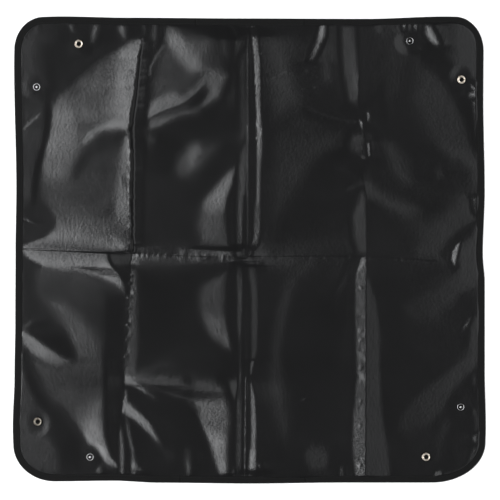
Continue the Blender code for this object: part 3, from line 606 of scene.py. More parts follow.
          (258, 430), (257, 395), (256, 372), (259, 350)), 1.5, 26),
        (((255, 462), (260, 462), (267, 478), (262, 478)), 2, 66),
        (((281, 286), (298, 268), (311, 260), (304, 284), (294, 310), (287, 340), (284, 365),
          (286, 395), (292, 425), (285, 442), (274, 422), (267, 390), (267, 350), (272, 310)), 7,
          43),
        (((300, 280), (330, 262), (336, 278), (326, 300), (322, 340), (350, 380), (348, 440),
          (300, 440), (292, 400), (292, 350)), 10, 29, 1.5),
        (((304, 450), (310, 446), (322, 446), (329, 452), (330, 463), (325, 470), (312, 471),
          (304, 464)), 4, 51),
        (((349, 260), (355, 260), (347, 284), (338, 298), (333, 294), (342, 278)), 3.5, 46),
        (((326, 296), (346, 296), (346, 312), (330, 316)), 6, 35),
        (((339, 466), (344, 466), (345, 478), (338, 478)), 2.5, 58),
        (((348, 262), (356, 262), (353, 280), (352, 330), (351, 400), (350, 440), (352, 478),
          (347, 478), (346, 430), (348, 330), (350, 290)), 2.5, 27),
        (((362, 255), (372, 255), (372, 478), (355, 478), (352, 450), (353, 420), (354, 390),
          (356, 375), (355, 350), (354, 320), (354, 290), (355, 275), (359, 264)), 2, 60),
        (((362, 256), (372, 256), (372, 284), (354.5, 284), (356, 272), (360, 263)), 1.5, 66),
        (((362, 256), (366, 260), (363, 266), (357, 274), (358, 267)), 1.5, 104),
        (((356, 350), (361, 352), (366, 359), (366, 363), (360, 358)), 2, 84),
        (((357, 371), (362, 373), (366, 380), (366, 386), (361, 380)), 2, 112),
        (((353, 408), (372, 408), (372, 478), (356, 478), (352, 440)), 3, 66),
        (((355, 462), (365, 462), (364, 478), (356, 478)), 2.5, 78),
        (((361, 328), (366, 328), (366, 337), (362, 336)), 2, 84),
    ),
    ("outer_right", "back"): (
        (((355, 20), (482, 20), (482, 262), (355, 262)), 2, 37, 0.35),
        (((355, 24), (362, 24), (362, 100), (358, 110), (355, 108)), 2, 28),
        (((355, 24), (376, 30), (380, 60), (384, 130), (370, 128), (362, 110), (360, 60)), 4, 34,
          0.7),
        (((374, 24), (382, 24), (382, 33), (376, 33)), 3, 62),
        (((401, 24), (407, 24), (406, 33), (403, 32)), 2, 136, 2),
        (((412, 24), (418, 24), (417, 33), (414, 32)), 2, 140, 2),
        (((423, 24), (431, 24), (437, 35), (441, 44), (437, 48), (429, 43), (424, 35)), 3, 136, 2),
        (((388, 46), (400, 46), (398, 90), (388, 96)), 7, 41),
        (((418, 48), (440, 53), (452, 66), (457, 82), (463, 92), (469, 106), (475, 126), (478, 150),
          (471, 150), (465, 122), (452, 94), (440, 76), (424, 62)), 4, 31),
        (((418, 66), (436, 76), (448, 92), (460, 114), (468, 136), (470, 148), (440, 150),
          (424, 130), (414, 98)), 7, 47),
        (((454, 22), (470, 22), (480, 36), (481, 74), (470, 79), (459, 76), (455, 60)), 5, 63, 1),
        (((462, 80), (468, 82), (476, 88), (476, 92), (466, 86)), 2, 110),
        (((467, 92), (478, 89), (478, 99), (468, 98)), 3.5, 104),
        (((470, 100), (478, 100), (478, 138), (475, 138), (473, 118)), 3.5, 84),
        (((444, 146), (470, 149), (477, 164), (477, 174), (464, 163), (452, 157)), 4, 56),
        (((472, 160), (478, 160), (478, 180), (472, 186)), 3, 62),
        (((414, 150), (432, 150), (446, 164), (470, 172), (468, 182), (440, 184), (420, 176)), 6,
          33),
        (((432, 168), (442, 166), (446, 178), (436, 182)), 4, 44),
        (((381, 141), (394, 141), (403, 160), (411, 183), (402, 183), (391, 170)), 5, 47),
        (((366, 132), (372, 134), (374, 146), (369, 152)), 3, 44),
        (((366, 142), (370, 142), (371, 156), (368, 158)), 1.2, 92),
        (((366, 112), (370, 112), (370, 122), (367, 122)), 1.2, 92),
        (((355, 178), (368, 180), (378, 189), (392, 196), (412, 204), (420, 210), (408, 216),
          (388, 213), (372, 205), (355, 198)), 6, 52),
        (((366, 182), (376, 190), (382, 198), (376, 202), (366, 196)), 4, 54),
        (((424, 228), (448, 212), (460, 198), (476, 194), (478, 222), (462, 228), (450, 240),
          (442, 252), (424, 254)), 7, 50),
        (((470, 196), (478, 196), (478, 216), (473, 212)), 3, 66),
        (((355, 204), (372, 206), (398, 220), (416, 240), (412, 256), (355, 256)), 8, 29, 1.5),
        (((476, 222), (474, 232), (462, 240), (456, 246), (449, 256), (446, 262), (440, 254),
          (448, 242), (458, 232), (468, 226)), 3, 28),
        (((476, 226), (478, 262), (458, 262), (462, 246), (472, 238)), 3, 58),
        (((450, 264), (451, 252), (456, 244), (461, 240), (459, 250), (456, 264)), 1.5, 128),
    ),
    ("outer_right", "front"): (
        (((355, 245), (482, 245), (482, 480), (355, 480)), 2, 32, 0.35),
        (((355, 276), (370, 278), (377, 298), (381, 326), (381, 370), (382, 400), (386, 430),
          (390, 460), (391, 480), (355, 480)), 3, 51),
        (((370, 262), (384, 270), (392, 300), (388, 340), (392, 380), (392, 420), (396, 450),
          (390, 440), (386, 400), (384, 340), (380, 300), (372, 280)), 4, 28),
        (((396, 302), (420, 288), (445, 277), (458, 269), (478, 258), (478, 290), (462, 302),
          (440, 322), (412, 326), (398, 316)), 9, 43),
        (((444, 282), (462, 272), (478, 262), (478, 288), (466, 296), (450, 298)), 7, 48),
        (((459, 252), (478, 252), (478, 288), (468, 284), (458, 270)), 3, 56),
        (((450, 250), (457, 250), (456, 266), (452, 266)), 1.5, 110),
        (((446, 250), (450, 252), (452, 267), (457, 266), (459, 252), (461, 252), (459, 268),
          (453, 273), (447, 268)), 1.5, 27),
        (((462, 296), (474, 292), (476, 312), (468, 316), (458, 310)), 5, 33),
        (((460, 333), (463, 325), (469, 317), (473, 315), (471, 322), (465, 331)), 2, 76),
        (((456, 326), (464, 318), (462, 314), (452, 324)), 3, 30),
        (((474, 316), (479, 318), (479, 362), (470, 370), (467, 350), (470, 332)), 3, 56),
        (((478, 340), (479, 362), (470, 372), (462, 384), (454, 394), (450, 408), (430, 428),
          (406, 436), (394, 430), (398, 414), (412, 396), (430, 381), (450, 367), (466, 352)), 6,
          46),
        (((466, 352), (479, 350), (474, 366), (462, 376), (450, 382), (452, 370)), 5, 52),
        (((396, 336), (436, 330), (460, 334), (464, 352), (430, 372), (404, 396), (392, 404),
          (388, 370)), 8, 29, 1.5),
        (((458, 392), (470, 382), (477, 390), (474, 420), (458, 424), (452, 408)), 4, 31),
        (((440, 424), (450, 412), (452, 424), (444, 442), (438, 462), (434, 462), (436, 444)), 4,
          41),
        (((472, 376), (477, 378), (476, 386), (472, 384)), 1.5, 48),
        (((471, 408), (478, 410), (477, 416), (472, 414)), 2.5, 60),
        (((474, 416), (479, 416), (478, 434), (474, 430)), 2.5, 58),
        (((471, 436), (478, 432), (478, 444), (472, 442)), 2.5, 68),
        (((472, 448), (478, 446), (474, 460), (466, 466), (468, 460)), 2.5, 68),
        (((434, 471), (442, 470), (444, 478), (434, 478)), 1.5, 78),
    ),
}

# Puckers and grooves: line and width in pixels, rise, and the fades at the ends
WRINKLE_PIXELS = (
    (((20, 248.6), (80, 251), (131, 253.5)), 0.62, -0.0008, 0.01, 0.0),
    (((131, 253.5), (185, 255), (234, 257.5), (247, 257.5)), 0.62, -0.0007, 0.0, 0.0),
    (((247, 257.5), (305, 257), (363, 257.5), (410, 260), (440, 261.4)), 0.9, -0.0006, 0.0, 0.1),
)

# Rows of ripples: line in pixels, then step, length, rise and width in millimetres, and lean in
# degrees
RIPPLE_PIXELS = (
    (((129.5, 133), (131, 160), (130, 193), (131, 243)), 16, 10, 0.2, 2.4, 10),
    (((131, 272), (129.5, 293), (128, 328), (127, 348), (125, 368)), 11, 10, 0.3, 2.0, -10),
    (((137, 254.5), (185, 256), (234, 258.5)), 8, 13, 0.25, 1.7, 5),
    (((255, 257), (305, 257.5), (363, 258), (410, 260)), 16, 12, 0.2, 2.2, 5),
    (((361, 285), (361, 330), (361, 380), (360, 440), (360, 475)), 18, 9, 0.2, 2.4, -20),
)


# Outline of the bound edge


def smooth(value):
    value = np.clip(value, 0.0, 1.0)
    return value * value * (3 - 2 * value)


def stray(side, share):
    """How far a side strays outwards, at these shares of its length."""
    shares, strays = (np.array(row) for row in zip((0, 0), *EDGE_STRAYS[side], (1, 0)))
    knot = np.clip(np.searchsorted(shares, share, side="right") - 1, 0, len(shares) - 2)
    way = smooth((share - shares[knot]) / (shares[knot + 1] - shares[knot]))
    return EDGE_WANDER * (strays[knot] * (1 - way) + strays[knot + 1] * way)


def corner_ends(corner):
    """X where a corner meets the front or back edge, and Y where it meets the side edge."""
    x_run, y_run = CORNER_RUNS[corner]
    x, y = MAT_WIDTH / 2 - x_run, MAT_DEPTH / 2 - y_run
    return (-x if "left" in corner else x), (-y if "front" in corner else y)


def long_edge(side, x, inset):
    """Y of the front or the back edge at these X."""
    out = MAT_DEPTH / 2 - inset + stray(side, np.asarray(x) / MAT_WIDTH + 0.5)
    return out if side == "back" else -out


def side_edge(side, y, inset):
    """X of the left or the right edge at these Y, rounded at the corners."""
    sign = 1 if side == "right" else -1
    y = np.asarray(y, float)
    x = sign * (MAT_WIDTH / 2 - inset + stray(side, y / MAT_DEPTH + 0.5))
    for end in ("front", "back"):
        x_end, y_end = corner_ends(f"{end}_{side}")
        reach = long_edge(end, x_end, inset) - y_end
        way = np.clip((y - y_end) / reach, 0.0, 1.0)
        corner_x = sign * (MAT_WIDTH / 2 - inset + stray(side, y_end / MAT_DEPTH + 0.5))
        round_x = x_end + (corner_x - x_end) * np.sqrt(1 - way * way)
        x = np.where(way > 0, round_x, x)
    return x


def outline(inset, spacing):
    """Points round the bound edge, counter-clockwise from the middle of the front, this far in
    from it and evenly spaced, the inward direction at each, and how far along it lies."""
    ends = {corner: corner_ends(corner) for corner in CORNER_RUNS}
    turns = np.linspace(0.0, pi / 2, ARC_STEPS)[1:-1]

    def arc(corner):
        end, side = corner.split("_")
        x_end, y_end = ends[corner]
        rise = long_edge(end, x_end, inset) - y_end
        run = side_edge(side, y_end, inset) - x_end
        return np.column_stack((x_end + run * np.sin(turns), y_end + rise * np.cos(turns)))

    def along_end(end, start, stop, steps):
        x = np.linspace(start, stop, steps)
        return np.column_stack((x, long_edge(end, x, inset)))

    def along_side(side, start, stop):
        y = np.linspace(start, stop, 2 * EDGE_STEPS)
        return np.column_stack((side_edge(side, y, inset), y))

    rough = np.vstack((
        along_end("front", 0.0, ends["front_right"][0], EDGE_STEPS),
        arc("front_right"),
        along_side("right", ends["front_right"][1], ends["back_right"][1]),
        arc("back_right")[::-1],
        along_end("back", ends["back_right"][0], ends["back_left"][0], 2 * EDGE_STEPS),
        arc("back_left"),
        along_side("left", ends["back_left"][1], ends["front_left"][1]),
        arc("front_left")[::-1],
        along_end("front", ends["front_left"][0], 0.0, EDGE_STEPS),
    ))
    walk = walked(rough)
    count = int(round(walk[-1] / spacing))
    places = np.arange(count) * walk[-1] / count
    points = np.column_stack([np.interp(places, walk, rough[:, k]) for k in (0, 1)])
    ahead = np.roll(points, -3, axis=0) - np.roll(points, 3, axis=0)
    ahead /= np.hypot(*ahead.T)[:, None]
    return points, np.column_stack((-ahead[:, 1], ahead[:, 0])), places


# Drawing on the mat


def on_mat(pixels):
    """Places on the mat, in metres, under these pixels of the photograph."""
    pixels = np.array(pixels, float)
    across = pixels[:, 0] - MIDDLE_PIXEL[0]
    up = MIDDLE_PIXEL[1] - pixels[:, 1]
    return np.column_stack((across, up)) * PIXEL


def walked(line):
    """How far along a line each of its points lies."""
    return np.concatenate(([0.0], np.cumsum(np.hypot(*np.diff(line, axis=0).T))))


def curve_through(points):
    """A smooth line through these points."""
    points = np.array(points, float)
    if len(points) < 3:
        return points
    ends = np.vstack((2 * points[0] - points[1], points, 2 * points[-1] - points[-2]))
    line = []
    for a, b, c, d in zip(ends, ends[1:], ends[2:], ends[3:]):
        for step in range(CURVE_STEPS):
            t = step / CURVE_STEPS
            bend = (2 * a - 5 * b + 4 * c - d) * t * t + (3 * b - a - 3 * c + d) * t**3
            line.append((2 * b + (c - a) * t + bend) / 2)
    return np.vstack((line, points[-1]))


def line_distance(x, y, line):
    """How far these points lie from a line, minus on its right, and their shares along it."""
    nearest = np.full(x.shape, np.inf)
    side, share = np.ones(x.shape), np.zeros(x.shape)
    lengths = np.maximum(np.hypot(*np.diff(line, axis=0).T), 1e-9)
    passed = 0.0
    for start, end, length in zip(line, line[1:], lengths):
        ahead = (end - start) / length
        along = (x - start[0]) * ahead[0] + (y - start[1]) * ahead[1]
        along = np.clip(along, 0.0, length)
        off_x = x - start[0] - along * ahead[0]
        off_y = y - start[1] - along * ahead[1]
        off = np.hypot(off_x, off_y)
        near = off < nearest
        nearest = np.where(near, off, nearest)
        side = np.where(near, np.where(ahead[0] * off_y - ahead[1] * off_x < 0, -1.0, 1.0), side)
        share = np.where(near, (passed + along) / lengths.sum(), share)
        passed += length
    return nearest * side, share


def is_inside(x, y, border):
    inside = np.zeros(x.shape, bool)
    for start, end in zip(border, np.roll(border, -1, axis=0)):
        if start[1] != end[1]:
            crossed = (start[1] > y) != (end[1] > y)
            at = (end[0] - start[0]) * (y - start[1]) / (end[1] - start[1]) + start[0]
            inside ^= crossed & (x < at)
    return inside


def near_box(x, y, line, reach):
    low, high = line.min(axis=0) - reach, line.max(axis=0) + reach
    return (x > low[0]) & (x < high[0]) & (y > low[1]) & (y < high[1])


def facet_share(x, y, border, edge):
    """1 within a facet of the cloth, 0 outside it and in between over this width of edge."""
    share = np.zeros(x.shape)
    near = near_box(x, y, border, edge)
    off, _ = line_distance(x[near], y[near], np.vstack((border, border[:1])))
    off = np.abs(off) * np.where(is_inside(x[near], y[near], border), 1, -1)
    share[near] = smooth(off / edge / 2 + 0.5)
    return share


def tapered(share, start, end):
    return smooth(share / max(start, 1e-6)) * smooth((1 - share) / max(end, 1e-6))


# Creases and the net of points laid over the mat


def crinkle(place):
    """Uneven small waves along a crease, from -1 to 1."""
    waves = (np.sin(2 * pi * place / length + turn) for length, turn in CRINKLE_WAVES)
    return sum(waves) / len(CRINKLE_WAVES)


def crease_x(fold, y):
    """X of a storage crease at these Y, as it wanders."""
    line = curve_through(on_mat(CREASE_PIXELS[fold]))
    line = line[np.argsort(line[:, 1])]
    return np.interp(y, line[:, 1], line[:, 0]) + 2 * CREASE_WAVER[fold] * crinkle(y)


def cross_y(x):
    """Y of the middle cross crease at these X."""
    line = curve_through(on_mat(CROSS_PIXELS))
    return np.interp(x, line[:, 0], line[:, 1])


def spread(stops, counts):
    """Steps between stops, which are numbers or arrays, with so many cells in each span, crowded
    towards the stops."""
    steps = []
    for low, high, count in zip(stops, stops[1:], counts):
        for step in range(count):
            share = step / count
            share -= CROWDING * sin(2 * pi * share) / (2 * pi)
            steps.append(low + (high - low) * share)
    return np.array(steps + [stops[-1]])


def lay_net():
    """X and Y of the net's points, with its columns along the storage creases and its rows along
    the cross crease, out to the cloth's edge inside the tape."""
    columns = COLUMN_STARTS[-1] + 1
    y = np.tile(spread((-MAT_DEPTH / 2, 0.0, MAT_DEPTH / 2), ROW_CELLS), (columns, 1))
    for _ in range(NET_ROUNDS):
        stops = [side_edge("left", y[0], CLOTH_INSET)]
        stops += [crease_x(fold, y[k]) for fold, k in zip(CREASE_PIXELS, COLUMN_STARTS[1:-1])]
        stops += [side_edge("right", y[-1], CLOTH_INSET)]
        x = spread(stops, COLUMN_CELLS)
        front = long_edge("front", x[:, 0], CLOTH_INSET)
        back = long_edge("back", x[:, -1], CLOTH_INSET)
        y = spread((front, cross_y(x[:, ROW_CELLS[0]]), back), ROW_CELLS).T
    return x, y


# Relief


def panel_mask(shape, panel, row):
    """Where the midpoints between columns lie in the front or back half of a panel."""
    here = np.zeros(shape, bool)
    first = PANELS.index(panel)
    middle = ROW_CELLS[0] + 1
    rows = slice(None, middle) if row == "front" else slice(middle, None)
    here[COLUMN_STARTS[first] : COLUMN_STARTS[first + 1], rows] = True
    return here


def facet_slopes(panel, border, shade):
    """The least and the largest slope to the right at which a facet stands this bright."""
    middle = border[:, 0].mean()
    drift = SLOPE_DRIFT * middle
    if shade < BLACK_SHADE:
        return BLACK_FALLS
    if shade <= DARK_SHADE:
        glow = log(max(shade + 1 - ROOM_SHADE, LEAST_GLOW))
        return drift + FILL_SLOPE + FILL_TURN * glow, drift + SOFTBOX_SLOPE + SOFTBOX_TURN * glow
    glow = log(shade + SHADE_LOSS * max(shade - BRIGHT_SHADE, 0) - ROOM_SHADE)
    faces_fill = panel == "outer_right" or (panel == "inner_right" and middle < FILL_REACH)
    if shade <= FILL_SHADE and faces_fill:
        slope = drift + FILL_SLOPE + FILL_TURN * glow
    else:
        slope = drift + SOFTBOX_SLOPE + SOFTBOX_TURN * glow
    return slope, slope


def wanted_slopes(x, y):
    """The least and the largest slope to the right that the cloth wants between each two
    columns, and how firmly."""
    least, largest = np.zeros(x.shape), np.zeros(x.shape)
    weight = np.full(x.shape, FREE_WEIGHT)
    for (panel, row), facets in FACET_PIXELS.items():
        mask = panel_mask(x.shape, panel, row)
        for pixels, edge, shade, *firmness in facets:
            border = on_mat(pixels)
            if edge >= SOFT_EDGE and np.ptp(border, axis=0).max() > SMALL_FACET:
                edge *= EDGE_SPREAD
            share = facet_share(x, y, border, edge * PIXEL) * mask
            low, high = facet_slopes(panel, border, shade)
            firm = firmness[0] if firmness else 1.0
            firm *= 1 + np.clip((shade - FIRM_SHADE) / FIRM_STEP, 0, FIRMEST)
            least = least * (1 - share) + low * share
            largest = largest * (1 - share) + high * share
            weight = weight * (1 - share) + firm * share
    return least, largest, weight


def settle(x, y, wanted, ceiling, height, rounds):
    """Heights over a flat table of cloth that wants these slopes and gives in elsewhere."""
    least, largest, weight = wanted
    step = np.maximum(np.diff(x, axis=0), LEAST_CELL)
    cell = float(np.median(step))
    along = SIDE_STIFFNESS * (cell / np.maximum(np.diff(y, axis=1), LEAST_CELL)) ** 2
    inner = (slice(1, -1), slice(1, -1))
    front, back = along[1:-1, :-1], along[1:-1, 1:]
    checks = np.add.outer(np.arange(x.shape[0] - 2), np.arange(x.shape[1] - 2)) % 2
    z = height.copy()
    for turn in range(rounds):
        if turn % ROUNDS_BETWEEN == 0:
            slope = np.diff(z, axis=0) / step
            content = (slope > least) & (slope < largest)
            across = np.where(content, FREE_WEIGHT, weight) * (cell / step) ** 2
            push = across * np.clip(slope, least, largest) * step
            left, right = across[:-1, 1:-1], across[1:, 1:-1]
            drive = push[:-1, 1:-1] - push[1:, 1:-1]
            whole = left + right + front + back + (cell / LEVEL_REACH) ** 2
        for colour in (0, 1):
            here = z[inner]
            pull = left * z[:-2, 1:-1] + right * z[2:, 1:-1]
            pull += front * z[1:-1, :-2] + back * z[1:-1, 2:] + drive
            new = np.clip(here + OVERSHOOT * (pull / whole - here), 0.0, ceiling[inner])
            z[inner] = np.where(checks == colour, new, here)
            z[0], z[-1] = z[1], z[-2]
            z[:, 0], z[:, -1] = z[:, 1], z[:, -2]
    return z


def grow(coarse, shape):
    """A coarse net's heights, read off at each point of the fine net."""
    first = np.linspace(0, coarse.shape[0] - 1, shape[0])
    second = np.linspace(0, coarse.shape[1] - 1, shape[1])
    rough = np.array([np.interp(second, np.arange(coarse.shape[1]), row) for row in coarse])
    return np.array([np.interp(first, np.arange(coarse.shape[0]), column) for column in rough.T]).T


def add_ridge(x, y, z, line, width, rise, fades):
    """Raises the cloth along a line, or sinks it, with these fades at the line's ends."""
    near = near_box(x, y, line, 3 * width)
    off, share = line_distance(x[near], y[near], line)
    z[near] += rise * np.exp(-((off / width) ** 2)) * tapered(share, *fades)


def add_ripples(x, y, z, chance):
    """Rows of small creases across a line, at uneven steps."""
    for pixels, pitch, length, rise, width, lean in RIPPLE_PIXELS:
        line = curve_through(on_mat(pixels))
        walk = walked(line)
        place = pitch * MM * chance.uniform(*RIPPLE_FIRST)
        while place < walk[-1]:
            middle = np.array([np.interp(place, walk, line[:, k]) for k in (0, 1)])
            ahead = np.array([np.interp(place + MM, walk, line[:, k]) for k in (0, 1)]) - middle
            ahead /= max(np.hypot(*ahead), 1e-9)
            tilt = radians(lean) + chance.uniform(*RIPPLE_TILT)
            across = np.array([-ahead[1], ahead[0]]) * cos(tilt) + ahead * sin(tilt)
            half = length * MM * chance.uniform(*RIPPLE_HALF)
            ends = np.array([middle - across * half, middle + across * half])
            wide = width * MM * chance.uniform(*RIPPLE_WIDE)
            height = rise * MM * chance.uniform(*RIPPLE_RISE)
            height *= 1 if chance.random() < RIPPLES_UP else RIPPLE_DIP
            add_ridge(x, y, z, ends, wide, height, (RIPPLE_TAPER, RIPPLE_TAPER))
            place += pitch * MM * chance.uniform(*RIPPLE_GAP)


def lay_cloth(relief, seed):
    """X, Y and the underside's Z of the sheet, at each point of the net."""
    x, y = lay_net()
    middle_x, middle_y = (x[1:] + x[:-1]) / 2, (y[1:] + y[:-1]) / 2
    wanted = wanted_slopes(middle_x, middle_y)
    rim, _, _ = outline(0.0, RIM_SPACING)
    rim = np.vstack((rim, rim[:1]))
    off_edge = np.abs(line_distance(x, y, rim)[0])
    in_tape = np.abs(line_distance(middle_x, middle_y, rim)[0]) < TAPE_REACH
    free = (0.0, 0.0, FREE_WEIGHT)
    wanted = [np.where(in_tape, kept, grid) for kept, grid in zip(free, wanted)]
    lift = HEM_LIFT * smooth(x / LIFT_START)
    ceiling = np.minimum(lift + HEM_CLIMB * np.maximum(off_edge - TAPE_REACH, 0.0), HIGHEST)
    k = COARSE_STEP
    coarse = (slice(None, None, k), slice(None, None, k))
    rough = [grid[:, ::k].reshape(-1, k, grid[:, ::k].shape[1]).mean(1) for grid in wanted]
    level = np.zeros(x[coarse].shape)
    z = settle(x[coarse], y[coarse], rough, ceiling[coarse], level, COARSE_ROUNDS)
    z = settle(x, y, wanted, ceiling, grow(z, x.shape), FINE_ROUNDS)
    for pixels, width, rise, *fades in WRINKLE_PIXELS:
        add_ridge(x, y, z, curve_through(on_mat(pixels)), width * PIXEL, rise, fades)
    add_ripples(x, y, z, np.random.default_rng(seed))
    z *= relief * smooth((off_edge - TAPE_REACH + HEM_FADE) / HEM_FADE)
    z = SHEET_LIE + np.where(z > -SAG, z, -SAG)
    for place in SNAPS.values():
        beyond = np.hypot(x - place[0], y - place[1]) - SEAT_HALF
        share = smooth(beyond / SEAT_FADE)
        z = SEAT_LIE * (1 - share) + z * share
    return x, y, z


# Pieces


def new_mesh(name, points, faces, normals=None):
    """A smooth mesh object in the part's frame, with its own normals where they are given."""
    mesh = bpy.data.meshes.new(name)
    mesh.from_pydata(np.asarray(points).tolist(), [], [list(face) for face in faces])
    mesh.validate()
    mesh.shade_smooth()
    if normals is not None:
        mesh.normals_split_custom_set_from_vertices(np.asarray(normals).tolist())
    mesh.update()
    piece = bpy.data.objects.new(name, mesh)
    bpy.context.scene.collection.objects.link(piece)
    return piece


def finish_piece(piece, finish):
    piece.data.materials.clear()
    piece.data.materials.append(finish)


def bend(piece, part):
    """Bakes a piece's placing into its mesh; the piece is not bent between bodies."""
    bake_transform(piece)


def column_run(part):
    """The net's first and last column under a piece of cloth."""
    low = (COLUMN_STARTS[1] + COLUMN_STARTS[2]) // 2
    high = (COLUMN_STARTS[2] + COLUMN_STARTS[3]) // 2
    return {"left": (0, low), "centre": (low, high), "right": (high, COLUMN_STARTS[-1])}[part]


def surface_normals(x, y, z):
    """Upward normals of the cloth at each point of its net."""
    points = np.stack((x, y, z), axis=-1)
    normals = np.cross(np.gradient(points, axis=0), np.gradient(points, axis=1))
    return normals / np.linalg.norm(normals, axis=-1, keepdims=True)


def quads(count_u, count_v):
    """Faces of a net of points, counter-clockwise from above."""
    u, v = np.meshgrid(np.arange(count_u - 1), np.arange(count_v - 1), indexing="ij")
    corner = (u * count_v + v).ravel()
    return np.column_stack((corner, corner + count_v, corner + count_v + 1, corner + 1))


def cloth_piece(part, net, thickness):
    """A closed sheet of even thickness between two columns of the net."""
    low, high = column_run(part)
    x, y, z = (grid[low : high + 1] for grid in net)
    normals = surface_normals(*net)[low : high + 1].reshape(-1, 3)
    count_u, count_v = x.shape
    under = np.stack((x, y, z), axis=-1).reshape(-1, 3)
    over = under + (0.0, 0.0, thickness)
    lower = len(over)
    border = [(u, 0) for u in range(count_u)]
    border += [(count_u - 1, v) for v in range(1, count_v)]
    border += [(u, count_v - 1) for u in range(count_u - 2, -1, -1)]
    border += [(0, v) for v in range(count_v - 2, 0, -1)]
    rim = np.array([u * count_v + v for u, v in border])
    ahead = np.roll(rim, -1)
    faces = quads(count_u, count_v).tolist()
    faces += (quads(count_u, count_v)[:, ::-1] + lower).tolist()
    faces += np.column_stack((rim + lower, ahead + lower, ahead, rim)).tolist()
    points, normals = np.vstack((over, under)), np.vstack((normals, -normals))
    return new_mesh(f"cloth_{part}", points, faces, normals)


def lies_on(part, net, point):
    """Whether a point of the bound edge lies on a piece of cloth."""
    low, high = column_run(part)

    def beyond(column):
        return point[0] > np.interp(point[1], net[1][column], net[0][column])

    return (low == 0 or beyond(low)) and (high == COLUMN_STARTS[-1] or not beyond(high))


def edge_runs(part, net, points):
    """Runs of these points of the bound edge that lie on a piece of cloth, by number. Those of
    the middle piece reach one point further, to meet the others."""
    count = len(points)
    wanted = [lies_on(part, net, point) for point in points]
    runs = []
    for start in (k for k in range(count) if wanted[k] and not wanted[k - 1]):
        run = [start]
        while wanted[(run[-1] + 1) % count]:
            run.append((run[-1] + 1) % count)
        if part == "centre":
            run = [(start - 1) % count, *run, (run[-1] + 1) % count]
        runs.append(run)
    return runs


def tape_section():
    """Section of the folded tape: how far in from its outer edge, and how high, from the inner
    lip of the upper leaf round the fold to the lower leaf and back inside."""
    top, thick, reach = TAPE_TOP / MM, TAPE_LEAF / MM, TAPE_REACH / MM
    fold_radius = top / 2
    lip, fold_end = reach - LIP_ROUND, fold_radius * FOLD_RUN
    section = [(reach, top - thick * 0.75), (reach, top - thick * 0.25), (lip, top)]
    section += [(reach - away, top + rise) for away, rise in SEAM_GROOVE]
    section += [(reach * share, top + rise) for share, rise in TAPE_CROWN]
    section.append((fold_end, top))
    for step in range(1, FOLD_STEPS):
        angle = pi * step / FOLD_STEPS
        section.append((fold_radius * (1 - sin(angle)), fold_radius * (1 + cos(angle))))
    section += [(fold_end, 0.0), (reach / 2, 0.0), (lip, 0.0)]
    section += [(reach, thick * 0.25), (reach, thick * 0.75), (lip, thick)]
    section += [(fold_end, thick), (fold_radius * 0.75, fold_radius)]
    section += [(fold_end, top - thick), (lip, top - thick)]
    return np.array(section) * MM


def slow_waves(places, whole, wave_count, chance):
    """Uneven waves round the closed edge, from -1 to 1."""
    waves = np.zeros(len(places))
    for _ in range(WAVES_MIXED):
        turns = chance.integers(wave_count // 2, wave_count * 2)
        waves += np.sin(2 * pi * turns * places / whole + chance.uniform(0, 2 * pi))
    return waves / WAVES_MIXED


def tape_piece(part, net, seed):
    """The folded tape along a piece of cloth, a swept section with slightly wavering lips."""
    points, inward, places = outline(0.0, TAPE_STATION)
    section = tape_section()
    chance = np.random.default_rng(seed)
    whole = places[-1] + TAPE_STATION
    waver = slow_waves(places, whole, LIP_WAVES, chance) * LIP_WAVER
    puff = slow_waves(places, whole, CROWN_WAVES, chance) * CROWN_WAVER
    verts, faces, in_shaded_fold = [], [], []
    count = len(section)
    on_top = section[:, 1] > TAPE_TOP * 0.9
    share_in = section[:, 0] / TAPE_REACH
    for run in edge_runs(part, net, points):
        first = len(verts)
        for k in run:
            inset = section[:, 0] + waver[k] * share_in**2
            height = section[:, 1] + np.where(on_top, puff[k] * np.sin(pi * share_in), 0.0)
            flat = points[k] + np.outer(inset, inward[k])
            verts += [(*place, rise) for place, rise in zip(flat, height)]
        for step in range(len(run) - 1):
            here, ahead = first + step * count, first + (step + 1) * count
            for side in range(count):
                beside = (side + 1) % count
                faces.append((here + side, here + beside, ahead + beside, ahead + side))
                in_shaded_fold.append(max(section[side, 0], section[beside, 0]) < TAPE_RIM)
        last = first + (len(run) - 1) * count
        faces.append(tuple(range(first + count - 1, first - 1, -1)))
        faces.append(tuple(range(last, last + count)))
        in_shaded_fold += [False, False]
    tape = new_mesh(f"binding_tape_{part}", verts, faces)
    # Faces round the fold take the second finish, painted darker as shade
    tape.data.polygons.foreach_set("material_index", np.array(in_shaded_fold, int))
    return tape


def tube_faces(first, rings, sides, outward):
    """Faces of a closed tube of rings of points, from its first point on."""
    faces = []
    for ring in range(rings - 1):
        here, there = first + ring * sides, first + (ring + 1) * sides
        for k in range(sides):
            beside = (k + 1) % sides
            face = (here + beside, here + k, there + k, there + beside)
            faces.append(face if outward else (here + k, there + k, there + beside, here + beside))
    last = first + (rings - 1) * sides
    faces.append(tuple(range(first, first + sides)))
    faces.append(tuple(range(last + sides - 1, last - 1, -1)))
    return faces


